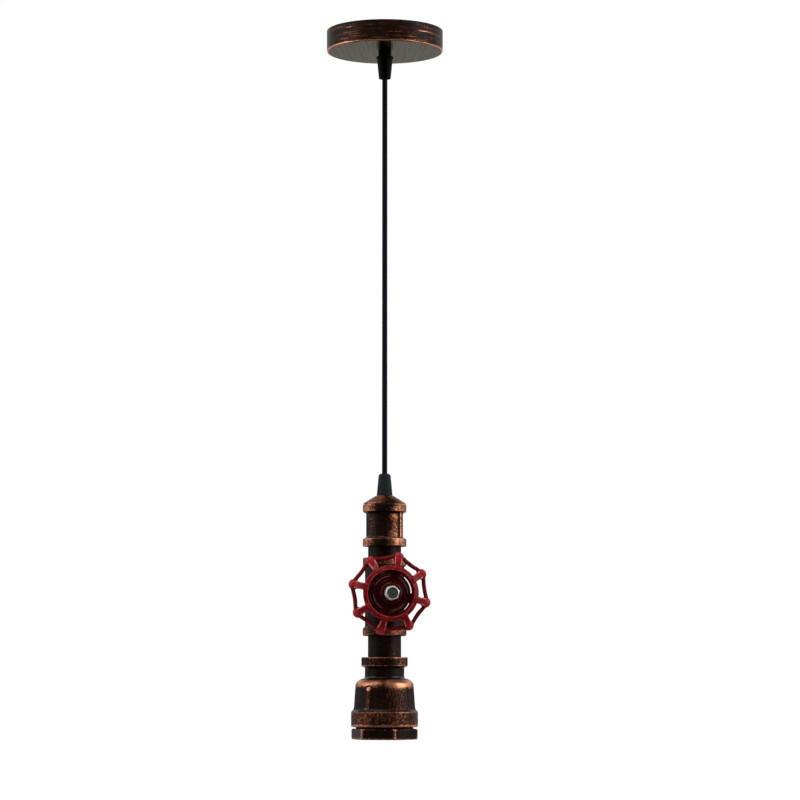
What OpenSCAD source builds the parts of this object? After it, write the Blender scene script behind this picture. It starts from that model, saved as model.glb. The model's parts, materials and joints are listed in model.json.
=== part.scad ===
// Industrial pipe pendant light. Millimetres, +Z up, origin on the ceiling at the middle of the rose.
// The light hangs along -Z and the handwheel looks along -Y.

/* [Rose] */
// Outside diameter of the ceiling rose
rose_d = 120; // [100:1:150]
// Height of the rose below the ceiling
rose_h = 22; // [20:0.5:32]
// Sheet thickness of the rose
rose_wall = 1.2; // [0.8:0.1:2]
// Round of the rose's lower edge
rose_edge_r = 1.6; // [1:0.1:3]
// Height of the side screws below the ceiling
rose_screw_drop = 9; // [7:0.5:11]
// Thread diameter of the side screws
rose_screw_d = 4; // [3:0.5:5]

/* [Bracket] */
// Width of the ceiling strap
strap_w = 20; // [16:1:26]
// Sheet thickness of the strap
strap_t = 1.5; // [1:0.1:2.5]
// Distance between the two slot centres
slot_spacing = 60; // [54:1:70]
// Overall length of a ceiling slot
slot_len = 16; // [10:1:20]
// Width of a ceiling slot
slot_w = 4.6; // [4:0.1:6]
// Drop of the bent end tabs below the ceiling
tab_drop = 14; // [12:0.5:17]
// Diameter of the earth screw on the strap
earth_screw_d = 4; // [3:0.5:5]

/* [Terminal block] */
// Number of ways in the block
block_ways = 3; // [2:1:4]
// Width of one way
way_w = 8; // [7:0.5:9]
// Depth of the block front to back
block_depth = 16; // [13:0.5:20]
// Height of the block
block_h = 11; // [10:0.5:13]

/* [Cord] */
// Diameter of the round flex
cord_d = 5.4; // [5:0.1:6.5]
// Free length of flex between the two grips
cord_drop = 409; // [150:1:800]
// Diameter of one insulated core
core_d = 2.2; // [1.8:0.1:2.4]

/* [Cord grips] */
// Thread diameter of the grips
grip_thread_d = 10; // [9.5:0.5:12]
// Diameter of the neck above the upper cap
grip_neck_d = 13.4; // [12.6:0.1:16]
// Height of the neck above the upper cap
grip_neck_h = 4.8; // [3:0.1:8]
// Diameter of the upper cap's collar
upper_collar_d = 17.6; // [16.8:0.1:20]
// Height of the upper cap
upper_cap_h = 23; // [21:0.5:30]
// Diameter of the cap tips
grip_tip_d = 12.2; // [11.8:0.1:14]
// Diameter of the lower cap's base
lower_base_d = 16; // [15.4:0.1:18]
// Height of the lower cap
lower_cap_h = 22.4; // [21:0.1:30]

/* [Pipe fittings] */
// Outside diameter of the pipe nipples
pipe_d = 33.7; // [32:0.1:35]
// Bore of the pipe nipples
pipe_bore_d = 27.2; // [22:0.1:28.6]
// Depth that a pipe end screws into a fitting
thread_depth = 14; // [10:0.5:16]
// Diameter of the bands on the coupling and the tee
band_d = 44.4; // [42.5:0.1:48]
// Height of the bands
band_h = 8.2; // [6:0.1:10]
// Height of the conical plug on the coupling
plug_cone_h = 8.8; // [6:0.1:14]
// Length of the top coupling
coupling_len = 43.4; // [40:0.1:52]
// Body diameter of the top coupling
coupling_body_d = 37.6; // [37:0.1:40]
// Visible length of the upper nipple
upper_gap = 11.2; // [4:0.1:40]
// Visible length of the lower nipple
lower_gap = 22.7; // [6:0.1:60]

/* [Valve tee] */
// Body diameter of the tee
tee_body_d = 40; // [38.5:0.1:42]
// Length of the tee above its branch
tee_upper_arm = 37.2; // [36:0.1:50]
// Length of the tee below its branch
tee_lower_arm = 42.5; // [38:0.1:50]
// Reach of the branch from the pipe's axis
tee_reach = 38; // [36:0.5:46]
// Body diameter of the branch
branch_body_d = 35; // [32:0.5:37]
// Diameter of the band on the branch
branch_band_d = 39.6; // [38:0.1:42]
// Thread diameter of the bonnet in the branch
bonnet_thread_d = 26.4; // [24:0.1:28]

/* [Handwheel] */
// Diameter over the lobes of the handwheel
wheel_d = 82; // [76:0.5:92]
// Radius of a lobe
lobe_r = 4; // [3.5:0.1:5]
// Width of a rim bar
rim_bar_w = 4.1; // [3.5:0.1:5]
// Thickness of the rim
rim_t = 4.8; // [4:0.1:6]
// Outside diameter of the raised ring
ring_d = 55; // [53:0.5:58]
// Width of the raised ring
ring_w = 5.2; // [4:0.1:6]
// Diameter of a spoke
spoke_d = 6.2; // [5:0.1:7]
// Diameter of the hub
hub_d = 23; // [20:0.5:26]
// Height of the hub
hub_h = 10.7; // [9:0.1:13]
// Diameter of the valve spindle
spindle_d = 8; // [7:0.1:9]
// Width across the flats of the wheel nut
nut_af = 13; // [11.5:0.5:15]
// Turn of the wheel as it stands, from a lobe straight up
wheel_turn = -14; // [-22:1:22]

/* [Bell reducer] */
// Diameter of the reducer's top band
reducer_top_d = 46.2; // [44:0.1:50]
// Diameter of the reducer's neck
reducer_neck_d = 40; // [38.5:0.1:43]
// Diameter of the bell below its shoulder
bell_top_d = 59; // [58:0.1:60.5]
// Diameter of the bell above its lower band
bell_low_d = 62.4; // [61.5:0.1:66]
// Diameter of the reducer's lower band
reducer_low_d = 68; // [67:0.1:74]
// Length of the reducer
reducer_len = 69.2; // [66:0.1:76]
// Height of the reducer's lower band
reducer_band_h = 15.2; // [12:0.1:16]

/* [Hex bush] */
// Width across the flats of the bush
hex_af = 60.2; // [60:0.1:66]
// Height of the hexagon
hex_h = 10.6; // [8:0.1:14]
// Thread that shows between the reducer and the hexagon
bush_gap = 1.8; // [1:0.1:4]
// Thread diameter of the bush
bush_thread_d = 59; // [58:0.1:60]

/* [Lampholder] */
// Diameter of the lampholder's porcelain body
holder_d = 40; // [36:0.1:41]
// Diameter of the lampholder's clamping flange
holder_flange_d = 54; // [52:0.5:56]
// Bore of the lamp thread, at its crest
lamp_bore_d = 26.9; // [26.6:0.1:27.2]
// Depth of the porcelain from its mouth to its neck
holder_skirt_h = 36; // [34:0.5:38]
// Height of the lampholder's neck
holder_neck_h = 11; // [9:0.5:12]

/* [Fits] */
// Radial clearance of screwed pieces
thread_fit = 0.1; // [0.05:0.01:0.15]
// Radial running clearance of the spindle
spindle_fit = 0.06; // [0.03:0.01:0.1]
// Clearance between pieces that move past each other
run_gap = 0.3; // [0.2:0.05:0.4]

/* [Hidden] */
$fn = 64;

// Colours
rustic = "#4a2c20";
black_nylon = "#1b1b1d";
black_flex = "#141416";
zinc = "#b9b7b0";
brass = "#b9923f";
white_nylon = "#e4e1d8";
porcelain = "#eeeae0";
wheel_red = "#8e1a1c";

// Small shared sizes
eps = 0.01;
through = 1;
clear_gap = 0.3;
edge = 0.8;
thread_relief = 0.35;
rib_w = 4.6;
rib_h = 1.6;

// Heights, worked down from the ceiling
rose_floor_z = -rose_h;
rose_inside_z = rose_floor_z + rose_wall;
neck_end_z = rose_floor_z - grip_neck_h;
upper_tip_z = neck_end_z - upper_cap_h;
lower_tip_z = upper_tip_z - cord_drop;
plug_top_z = lower_tip_z - lower_cap_h;
coupling_top_z = plug_top_z - plug_cone_h;
coupling_end_z = coupling_top_z - coupling_len;
tee_top_z = coupling_end_z - upper_gap;
branch_z = tee_top_z - tee_upper_arm;
tee_end_z = branch_z - tee_lower_arm;
reducer_top_z = tee_end_z - lower_gap;
reducer_end_z = reducer_top_z - reducer_len;
hex_top_z = reducer_end_z - bush_gap;
hex_end_z = hex_top_z - hex_h;

// Rose and bracket
rose_r = rose_d / 2;
rose_inner_r = rose_r - rose_wall;
tab_w = 16;
tab_face_x = sqrt(pow(rose_inner_r, 2) - pow(tab_w / 2, 2)) - clear_gap;
screw_r = rose_screw_d / 2;
screw_socket_r = screw_r * 0.58;
screw_past_tab = 1.2;
screw_sink = 0.2;
screw_end_x = tab_face_x - strap_t - screw_past_tab;
screw_head_x = rose_r - screw_sink;
earth_x = 14;
earth_r = earth_screw_d / 2;
earth_head_h = 2.2;
cup_h = 1;
ceiling_gap = 0.2;

// Terminal block, hung under an ear of the strap behind the flex
block_w = block_ways * way_w;
block_gap = 1;
block_y = strap_w / 2 + block_gap + block_depth / 2;
ear_side = 3;
ear_past_block = 2;
ear_w = block_w + 2 * ear_side;
ear_end_y = block_y + block_depth / 2 + ear_past_block;
tube_r = way_w * 0.27;
tube_wall = 0.8;
tube_bore_r = tube_r - tube_wall;
tube_z = -strap_t - block_h * 0.6;
tube_inset = 1;
tube_len = block_depth - 2 * tube_inset;
block_screw_r = 1.3;
block_screw_sink = 0.4;
block_screw_room = 0.5;
block_screw_step = tube_len * 0.26;
fixing_r = way_w * 0.15;
fixing_head_r = fixing_r * 1.8;
fixing_head_h = 1.6;
fixing_x = -(block_ways - 2) / 2 * way_w;

// Cord and its grips
cord_r = cord_d / 2;
cord_fit = 0.12;
grip_r = grip_thread_d / 2;
locknut_h = 3;
locknut_wall = 2.5;
locknut_af = grip_thread_d + 2 * locknut_wall;
thread_past_nut = 1.5;
upper_thread_top_z = rose_inside_z + locknut_h + thread_past_nut;
spigot_step = 0.4;
spigot_r = grip_r + spigot_step;
spigot_len = 8;
collar_h = 2;
collet_len = 8;
collet_inset = 0.3;
collet_tip_wall = 1.1;
collet_top_r = spigot_r - collet_inset;
collet_end_r = cord_r + collet_tip_wall;
collet_gap = 0.2;
collet_slit = 0.8;
swing_deg = 20;
lean_deg = acos(pow(cos(swing_deg), 2));
mouth_depth = 3;
mouth_in_r = cord_r / cos(lean_deg) + clear_gap;
mouth_r = mouth_in_r + mouth_depth * tan(lean_deg);
pivot_z = upper_tip_z + mouth_depth;
flex_top_z = pivot_z + cord_r + clear_gap;
cord_start_z = pivot_z - cord_r - collet_gap;
collet_z = neck_end_z - spigot_len - collet_gap;
lower_spigot_z = plug_top_z + spigot_len;
lower_collet_z = lower_spigot_z + collet_gap;
cord_end_z = lower_collet_z + collet_len / 2;
inner_cord_top_z = cord_end_z - clear_gap;

// Stations of the free flex below its top end, and its stretch into the lower grip
cord_stations = [0, 10, 20, 40, 60, 80, 100, 120, 140, 160, 180, 200, 220, 240, 260, 280, 300, 320, 340,
    360, 380, 400];
cord_length = cord_start_z - cord_end_z;
cord_route = concat(
    [for (s = cord_stations) if (s < cord_length - cord_d) [0, 0, cord_start_z - s]],
    [[0, 0, cord_end_z]]
);
cord_sides = 12;
core_sides = 8;

// Pipe fittings
pipe_r = pipe_d / 2;
pipe_bore_r = pipe_bore_d / 2;
male_r = pipe_r - thread_relief;
socket_r = male_r + thread_fit;
band_r = band_d / 2;
socket_depth = thread_depth + 1;
core_bore_r = pipe_bore_r;
cove = 3;
lip_r = band_r - edge;
tapped_r = grip_r + thread_fit;
coupling_rib_turn = 51;
reducer_rib_turn = -39;

// Valve, measured out along the branch from the pipe's axis
bonnet_r = bonnet_thread_d / 2;
bonnet_thread_len = 12;
bonnet_in = tee_reach - bonnet_thread_len;
bonnet_af = 28;
bonnet_flange_t = 3;
gland_af = 17;
gland_h = 3;
gland_thread_r = 6.4;
packing_h = 3;
packing_r = gland_thread_r;
spindle_r = spindle_d / 2;
gland_out = tee_reach + bonnet_flange_t + gland_h;
wheel_back = gland_out + run_gap;
hub_out = wheel_back + hub_h;
washer_t = 1.2;
washer_lip = 1;
washer_r = nut_af / 2 + washer_lip;
nut_h = 8;
nut_collar_h = 2.4;
nut_out = hub_out + washer_t + nut_h;
stud_sink = 0.8;
spindle_end = nut_out - stud_sink;
spindle_shoulder = 2.5;
spindle_collar_r = spindle_r + spindle_shoulder;
spindle_collar_h = 3;
drive_w = spindle_d * 0.7;
drive_hole_w = drive_w + 2 * thread_fit;
drive_depth = 3;
drive_in = wheel_back + drive_depth;
stud_r = drive_w / 2;
nut_collar_wall = 1.7;
insert_r = nut_af / 2 - nut_collar_wall;
insert_h = 1.8;

// Handwheel
lobes = 8;
slots = 4;
wheel_r = wheel_d / 2;
lobe_at = wheel_r - lobe_r;
bar_at = lobe_at * cos(180 / lobes);
bar_len = 2 * lobe_at * sin(180 / lobes);
rim_set_back = 6.6;
rim_back = wheel_back - rim_set_back;
rim_mid = rim_back + rim_t / 2;
ring_r = ring_d / 2;
ring_in_r = ring_r - ring_w;
ring_below_hub = 1;
ring_lift = 1.4;
ring_out = hub_out - ring_below_hub;
ring_back = wheel_back + ring_lift;
web_t = 3;
slot_r = ring_in_r + 0.1;
window_w = 4.9;
slot_inner_r = slot_r - window_w;
slot_deg = 61;
spoke_in_r = ring_r - ring_w / 2;
spoke_sink = 0.4;
spoke_out = ring_out - spoke_d / 2 - spoke_sink;

// Bell reducer, bush and lampholder
reducer_top_band_h = 7.9;
neck_h = 11.3;
shoulder_h = 11.6;
flare_h = 3;
bush_r = bush_thread_d / 2;
bush_socket_r = bush_r + thread_fit;
bush_socket_h = 18;
ledge_z = reducer_end_z + bush_socket_h;
ledge_r = 23;
ledge_h = 4;
cavity_r = 26.4;
flange_t = 3.5;
flange_end_z = ledge_z - flange_t;
holder_r = holder_d / 2;
holder_flange_r = holder_flange_d / 2;
holder_gap = 0.5;
bush_bore_r = holder_r + holder_gap;
hex_turn = -19.7;
mouth_sink = 6.6;
holder_mouth_z = hex_end_z + mouth_sink;
holder_step_z = holder_mouth_z + holder_skirt_h;
holder_top_z = holder_step_z + holder_neck_h;
holder_neck_r = 15;
lamp_r = lamp_bore_d / 2;
shell_t = 0.7;
shell_r = lamp_r + shell_t;
shell_len = 26;
shell_sink = 2;
shell_end_z = holder_mouth_z + shell_sink;
shell_top_z = shell_end_z + shell_len;
chamber_r = 10;
chamber_h = 6;
chamber_z = shell_top_z + chamber_h;
post_r = 1.5;
post_fit = 0.15;
live_inset = 0.4;
neutral_outset = 0.2;
live_x = chamber_r - post_r - live_inset;
neutral_x = -(chamber_r + post_r + neutral_outset);
terminal_x = 9.2;
terminal_w = 8;
terminal_y = 8;
terminal_h = 5;
terminal_z = holder_top_z + terminal_h;
terminal_screw_r = 1.7;
terminal_head_r = 2.6;
terminal_head_h = 1.6;
terminal_screw_len = 3.4;
tongue_lift = 2.2;
tongue_z = shell_top_z + tongue_lift;
tongue_t = 0.5;
tongue_w = 6;
tongue_tip_x = -3.5;
tongue_root_gap = 0.2;
tongue_root_x = live_x - post_r - tongue_root_gap;

// Routes of the cores at both ends of the flex, one side each
sheath_past_thread = 0.6;
sheath_top_z = upper_thread_top_z + sheath_past_thread;
core_side_gap = 0.1;
core_rest = core_d / 2 + core_side_gap;
rose_core_end_x = (block_ways - 1) / 2 * way_w;
rose_core_end_y = block_y - tube_len / 2 - clear_gap;
rose_core_route = [
    [core_rest, 0, sheath_top_z + 0.1],
    [core_rest, 0, sheath_top_z + 1.4],
    [core_rest + 1, 0.8, sheath_top_z + 3],
    [rose_core_end_x * 0.55, 3.4, tube_z - 1.4],
    [rose_core_end_x * 0.9, 6.4, tube_z - 0.2],
    [rose_core_end_x, 9, tube_z],
    [rose_core_end_x, rose_core_end_y, tube_z],
];
core_split = 14;
inner_sheath_end_z = terminal_z + core_split;
core_entry_z = holder_top_z + terminal_h * 0.5;
core_entry_x = terminal_x - terminal_w / 2 - clear_gap;
lamp_core_route = [
    [core_rest, 0, inner_sheath_end_z - 0.1],
    [core_rest, 0, core_entry_z + 9],
    [core_rest, 0, core_entry_z + 5],
    [core_rest + 0.3, 0, core_entry_z + 2.6],
    [core_rest + 1, 0, core_entry_z + 1],
    [core_rest + 2, 0, core_entry_z],
    [core_entry_x, 0, core_entry_z],
];

// Direction of a route at one of its points
function unit(v) = v / norm(v);
function heading(p, i) = unit(p[min(i + 1, len(p) - 1)] - p[max(i - 1, 0)]);
// A direction square to the heading, kept as near to +Y or +X as it can be
function side_of(t) = unit(cross(t, abs(t[1]) < 0.8 ? [0, 1, 0] : [1, 0, 0]));
function tube_ring(p, i, r, sides) =
    let (t = heading(p, i), u = side_of(t), v = cross(t, u))
    [for (k = [0:sides - 1]) p[i] + r * (cos(360 * k / sides) * u + sin(360 * k / sides) * v)];

// A round tube swept along a route
module tube(route, r, sides) {
    points = [for (i = [0:len(route) - 1]) each tube_ring(route, i, r, sides)];
    last = (len(route) - 1) * sides;
    start_cap = [for (k = [0:sides - 1]) k];
    end_cap = [for (k = [sides - 1:-1:0]) last + k];
    walls = [
        for (i = [0:len(route) - 2], k = [0:sides - 1], half = [0, 1])
            let (a = i * sides + k, b = i * sides + (k + 1) % sides)
            half == 0 ? [a, a + sides, b] : [b, a + sides, b + sides]
    ];
    polyhedron(points = points, faces = concat([start_cap, end_cap], walls));
}

// A solid of revolution about Z from an outline of radius and height
module lathe(outline) {
    rotate_extrude() polygon(outline);
}

// A round hole or rod from one height to another
module rod(r, z0, z1) {
    translate([0, 0, min(z0, z1)]) cylinder(r = r, h = abs(z1 - z0));
}

// A hexagonal prism by its width across the flats
module hex_rod(af, z0, z1) {
    translate([0, 0, min(z0, z1)]) cylinder(r = af / sqrt(3), h = abs(z1 - z0), $fn = 6);
}

// Places children in the branch's own frame, where Z runs out along the branch
module along_branch() {
    translate([0, 0, branch_z]) rotate([90, 0, 0]) children();
}

// Places children on both sides of the YZ plane
module both_sides() {
    children();
    mirror([1, 0, 0]) children();
}

module ceiling_rose() {
    color(rustic) difference() {
        lathe([
            [0, rose_floor_z], [rose_r - rose_edge_r, rose_floor_z],
            [rose_r - rose_edge_r * 0.3, rose_floor_z + rose_edge_r * 0.3],
            [rose_r, rose_floor_z + rose_edge_r], [rose_r, 0], [0, 0]
        ]);
        rod(rose_inner_r, rose_inside_z, through);
        rod(tapped_r, rose_floor_z - through, rose_inside_z + through);
        both_sides() translate([rose_inner_r - 2, 0, -rose_screw_drop]) rotate([0, 90, 0])
            cylinder(r = screw_r + thread_fit, h = rose_wall + 4);
    }
}

module strap_slot() {
    reach = (slot_len - slot_w) / 2;
    translate([slot_spacing / 2, 0, -strap_t - through]) {
        both_sides() translate([reach, 0, 0]) cylinder(r = slot_w / 2, h = strap_t + 2 * through);
        translate([-reach, -slot_w / 2, 0]) cube([2 * reach, slot_w, strap_t + 2 * through]);
    }
}

module ceiling_bracket() {
    color(zinc) difference() {
        union() {
            translate([-tab_face_x, -strap_w / 2, -strap_t]) cube([2 * tab_face_x, strap_w, strap_t]);
            translate([-ear_w / 2, 0, -strap_t]) cube([ear_w, ear_end_y, strap_t]);
            both_sides() translate([tab_face_x - strap_t, -tab_w / 2, -tab_drop])
                cube([strap_t, tab_w, tab_drop]);
        }
        both_sides() intersection() {
            translate([tab_face_x, -strap_w, -strap_t - through])
                cube([strap_w, 2 * strap_w, strap_t + 2 * through]);
            rod(rose_r, -strap_t - through, through);
        }
        for (corner = [[1, 1], [1, -1], [-1, 1], [-1, -1]])
            translate([corner[0] * tab_face_x, corner[1] * (tab_w / 2 + strap_w / 2), -strap_t / 2])
                cube([2 * strap_t + 4, strap_w, strap_t + 2 * through], center = true);
        both_sides() strap_slot();
        both_sides() translate([tab_face_x - strap_t - through, 0, -rose_screw_drop]) rotate([0, 90, 0])
            cylinder(r = screw_r + thread_fit, h = strap_t + 2 * through);
        translate([earth_x, 0, 0]) rod(earth_r + thread_fit, -strap_t - through, through);
        translate([fixing_x, block_y, 0]) rod(fixing_r + thread_fit, -strap_t - through, through);
    }
}

module rose_screws() {
    color(zinc) both_sides() translate([0, 0, -rose_screw_drop]) rotate([0, 90, 0]) difference() {
        rod(screw_r, screw_end_x, screw_head_x);
        translate([0, 0, screw_head_x - screw_r]) cylinder(r = screw_socket_r, h = 2 * screw_r, $fn = 6);
    }
}

// Middle of each way of the terminal block
function way_x(i) = (i - (block_ways - 1) / 2) * way_w;

module terminal_block() {
    color(white_nylon) difference() {
        translate([-block_w / 2, block_y - block_depth / 2, -strap_t - block_h])
            cube([block_w, block_depth, block_h]);
        for (i = [0:block_ways - 1]) translate([way_x(i), 0, 0]) {
            translate([0, block_y - block_depth / 2 - through, tube_z]) rotate([-90, 0, 0])
                cylinder(r = tube_r + thread_fit, h = block_depth + 2 * through);
            for (step = [-1, 1]) translate([0, block_y + step * block_screw_step, 0])
                rod(block_screw_r + block_screw_room, -strap_t - block_h - through, tube_z);
        }
        translate([fixing_x, block_y, 0]) rod(fixing_r + thread_fit, -strap_t - block_h - through, through);
    }
}

module block_tubes() {
    color(brass) for (i = [0:block_ways - 1]) translate([way_x(i), block_y - tube_len / 2, tube_z]) {
        rotate([-90, 0, 0]) difference() {
            cylinder(r = tube_r, h = tube_len);
            translate([0, 0, -through]) cylinder(r = tube_bore_r, h = tube_len + 2 * through);
        }
    }
}

module block_screws() {
    color(zinc) for (i = [0:block_ways - 1], step = [-1, 1])
        translate([way_x(i), block_y + step * block_screw_step, 0])
            rod(block_screw_r, -strap_t - block_h + block_screw_sink, tube_z - tube_r - eps);
}

module block_fixing_screw() {
    color(zinc) translate([fixing_x, block_y, 0]) {
        rod(fixing_r, -strap_t - block_h - eps, -ceiling_gap);
        rod(fixing_head_r, -strap_t - block_h - fixing_head_h, -strap_t - block_h);
    }
}

module earth_screw() {
    color(brass) translate([earth_x, 0, 0]) {
        rod(earth_r, -strap_t - eps, -ceiling_gap);
        rod(earth_r * 2.1, -strap_t - cup_h, -strap_t);
        rod(earth_r * 1.8, -strap_t - cup_h - earth_head_h, -strap_t - cup_h + eps);
    }
}

module upper_grip_body() {
    color(black_nylon) difference() {
        union() {
            rod(grip_r, rose_floor_z - eps, upper_thread_top_z);
            rod(grip_neck_d / 2, neck_end_z, rose_floor_z);
            rod(spigot_r, neck_end_z - spigot_len, neck_end_z + eps);
        }
        rod(cord_r + cord_fit, neck_end_z - spigot_len - through, upper_thread_top_z + through);
    }
}

module upper_grip_locknut() {
    color(zinc) difference() {
        hex_rod(locknut_af, rose_inside_z, rose_inside_z + locknut_h);
        rod(tapped_r, rose_inside_z - through, rose_inside_z + locknut_h + through);
    }
}

// Split clamping cone that grips the flex, its wide end up
module collet(top_z) {
    difference() {
        translate([0, 0, top_z - collet_len])
            cylinder(r1 = collet_end_r, r2 = collet_top_r, h = collet_len);
        rod(cord_r + cord_fit, top_z - collet_len - through, top_z + through);
        translate([-collet_slit / 2, 0, top_z - collet_len - through])
            cube([collet_slit, 2 * collet_top_r, collet_len + 2 * through]);
    }
}

// Outline of the space inside a cap that the spigot and the collet fill, wide end up
function cap_space(top_z) = [
    [0, top_z], [spigot_r + thread_fit, top_z], [spigot_r + thread_fit, top_z - spigot_len - collet_gap],
    [collet_top_r + collet_gap, top_z - spigot_len - collet_gap],
    [collet_end_r + collet_gap, top_z - spigot_len - 2 * collet_gap - collet_len],
    [0, top_z - spigot_len - 2 * collet_gap - collet_len]
];

module upper_grip_cap() {
    collar_r = upper_collar_d / 2;
    tip_r = grip_tip_d / 2;
    color(black_nylon) difference() {
        lathe([
            [0, neck_end_z], [collar_r - 0.4, neck_end_z], [collar_r, neck_end_z - 0.4],
            [collar_r, neck_end_z - collar_h], [collar_r - 0.5, neck_end_z - collar_h - 0.6],
            [tip_r, upper_tip_z + 0.8], [tip_r - 0.5, upper_tip_z], [0, upper_tip_z]
        ]);
        lathe(cap_space(neck_end_z));
        rod(mouth_in_r, pivot_z - eps, neck_end_z);
        lathe([
            [0, pivot_z], [mouth_in_r, pivot_z], [mouth_r, upper_tip_z],
            [mouth_r, upper_tip_z - through], [0, upper_tip_z - through]
        ]);
    }
}

module upper_grip_collet() {
    color(black_nylon) collet(collet_z);
}

module rose_cord() {
    color(black_flex) rod(cord_r, flex_top_z, sheath_top_z);
}

module rose_cores() {
    color(black_flex) both_sides() tube(rose_core_route, core_d / 2, core_sides);
}

// The stretch that bends where the flex leaves the upper grip
module cord_flex() {
    color(black_flex) translate([0, 0, pivot_z]) sphere(r = cord_r);
}

module pendant_cord() {
    color(black_flex) tube(cord_route, cord_r, cord_sides);
}

module lower_grip_cap() {
    color(black_nylon) difference() {
        lathe([
            [0, plug_top_z], [lower_base_d / 2, plug_top_z], [lower_base_d / 2, plug_top_z + 1.4],
            [grip_tip_d / 2, lower_tip_z - 2], [grip_tip_d / 2 - 0.6, lower_tip_z - 0.6],
            [grip_tip_d / 2 - 1.6, lower_tip_z], [0, lower_tip_z]
        ]);
        translate([0, 0, plug_top_z]) mirror([0, 0, 1]) lathe(cap_space(0));
        rod(cord_r + cord_fit + 0.2, plug_top_z, lower_tip_z + through);
    }
}

module lower_grip_body() {
    color(black_nylon) difference() {
        union() {
            rod(grip_r, coupling_top_z - 2, plug_top_z + eps);
            rod(spigot_r, plug_top_z, lower_spigot_z);
        }
        rod(cord_r + cord_fit, coupling_top_z - 2 - through, lower_spigot_z + through);
    }
}

module lower_grip_collet() {
    color(black_nylon) translate([0, 0, lower_collet_z]) mirror([0, 0, 1]) collet(0);
}

// Conical plug that closes the top coupling
module top_plug() {
    cone_top_r = lower_base_d / 2 + 0.7;
    color(rustic) difference() {
        union() {
            lathe([
                [0, plug_top_z], [cone_top_r, plug_top_z], [lip_r, coupling_top_z + edge],
                [lip_r, coupling_top_z], [0, coupling_top_z]
            ]);
            rod(male_r, coupling_top_z - thread_depth + 2, coupling_top_z + eps);
        }
        rod(tapped_r, coupling_top_z - thread_depth, plug_top_z + through);
    }
}

// Outline of one fitting's end band and the cove under it, from its end face at end_z inwards
function band_edge(r, body_r, end_z, h, dir) = [
    [r - edge, end_z], [r, end_z + dir * edge], [r, end_z + dir * (h - edge)],
    [r - edge, end_z + dir * h], [body_r + cove * 0.25, end_z + dir * (h + cove * 0.4)],
    [body_r, end_z + dir * (h + cove)]
];

function reversed(list) = [for (i = [len(list) - 1:-1:0]) list[i]];

// A straight fitting with a band at each end
module banded_body(top_z, end_z, body_r, top_band_r, end_band_r, top_h, end_h) {
    lathe(concat(
        [[0, top_z]],
        band_edge(top_band_r, body_r, top_z, top_h, -1),
        reversed(band_edge(end_band_r, body_r, end_z, end_h, 1)),
        [[0, end_z]]
    ));
}

module top_coupling() {
    body_r = coupling_body_d / 2;
    rib_top = coupling_top_z - band_h + edge;
    rib_end = coupling_end_z + band_h - edge;
    color(rustic) difference() {
        union() {
            banded_body(coupling_top_z, coupling_end_z, body_r, band_r, band_r, band_h, band_h);
            for (turn = [coupling_rib_turn, coupling_rib_turn + 180]) rotate([0, 0, turn])
                translate([-rib_w / 2, -body_r - rib_h, rib_end]) cube([rib_w, body_r, rib_top - rib_end]);
        }
        rod(socket_r, coupling_end_z - through, coupling_top_z + through);
    }
}

// A pipe nipple that shows between two fittings and screws into both
module nipple(top_z, end_z) {
    difference() {
        union() {
            rod(male_r, end_z - thread_depth, top_z + thread_depth);
            rod(pipe_r, end_z, top_z);
        }
        rod(pipe_bore_r, end_z - thread_depth - through, top_z + thread_depth + through);
    }
}

module upper_nipple() {
    color(rustic) nipple(coupling_end_z, tee_top_z);
}

module lower_nipple() {
    color(rustic) nipple(tee_end_z, reducer_top_z);
}

module valve_tee() {
    color(rustic) difference() {
        union() {
            banded_body(tee_top_z, tee_end_z, tee_body_d / 2, band_r, band_r, band_h, band_h);
            along_branch() {
                cylinder(r = branch_body_d / 2, h = tee_reach);
                lathe([
                    [0, tee_reach], [branch_band_d / 2 - edge, tee_reach],
                    [branch_band_d / 2, tee_reach - edge], [branch_band_d / 2, tee_reach - band_h + edge],
                    [branch_body_d / 2, tee_reach - band_h - edge], [0, tee_reach - band_h - edge]
                ]);
            }
        }
        rod(socket_r, tee_top_z - socket_depth, tee_top_z + through);
        rod(socket_r, tee_end_z + socket_depth, tee_end_z - through);
        rod(core_bore_r, tee_end_z, tee_top_z);
        along_branch() cylinder(r = bonnet_r + thread_fit, h = tee_reach + through);
    }
}

module valve_bonnet() {
    color(rustic) along_branch() difference() {
        union() {
            rod(bonnet_r, bonnet_in, tee_reach + eps);
            hex_rod(bonnet_af, tee_reach, tee_reach + bonnet_flange_t);
        }
        rod(spindle_r + spindle_fit, bonnet_in - through, gland_out);
        rod(gland_thread_r + thread_fit, tee_reach + bonnet_flange_t - 2 * packing_h, gland_out);
    }
}

module gland_packing() {
    top = tee_reach + bonnet_flange_t - packing_h;
    color(black_flex) along_branch() difference() {
        rod(packing_r, top - packing_h, top);
        rod(spindle_r + spindle_fit, top - packing_h - through, top + through);
    }
}

module gland_nut() {
    seat = tee_reach + bonnet_flange_t;
    color(brass) along_branch() difference() {
        union() {
            hex_rod(gland_af, seat, gland_out);
            rod(gland_thread_r, seat - packing_h, seat + eps);
        }
        rod(spindle_r + spindle_fit, seat - packing_h - through, gland_out + through);
    }
}

// Height of each step of the reducer, from the top down
shoulder_z = reducer_top_z - reducer_top_band_h - neck_h;
bell_z = shoulder_z - shoulder_h;
low_band_z = reducer_end_z + reducer_band_h;

module reducer_rib() {
    rib_top = shoulder_z - shoulder_h * 0.55;
    rib_end = low_band_z - edge;
    lean = atan((bell_low_d - bell_top_d) / 2 / (bell_z - low_band_z));
    depth = 4;
    rotate([0, 0, reducer_rib_turn]) translate([0, -bell_low_d / 2, low_band_z]) rotate([lean, 0, 0]) {
        translate([-rib_w / 2, -rib_h, rib_end - low_band_z]) cube([rib_w, depth, rib_top - rib_end]);
        translate([0, -rib_h, rib_top - low_band_z]) rotate([-90, 0, 0]) cylinder(r = rib_w / 2, h = depth);
    }
}

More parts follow.
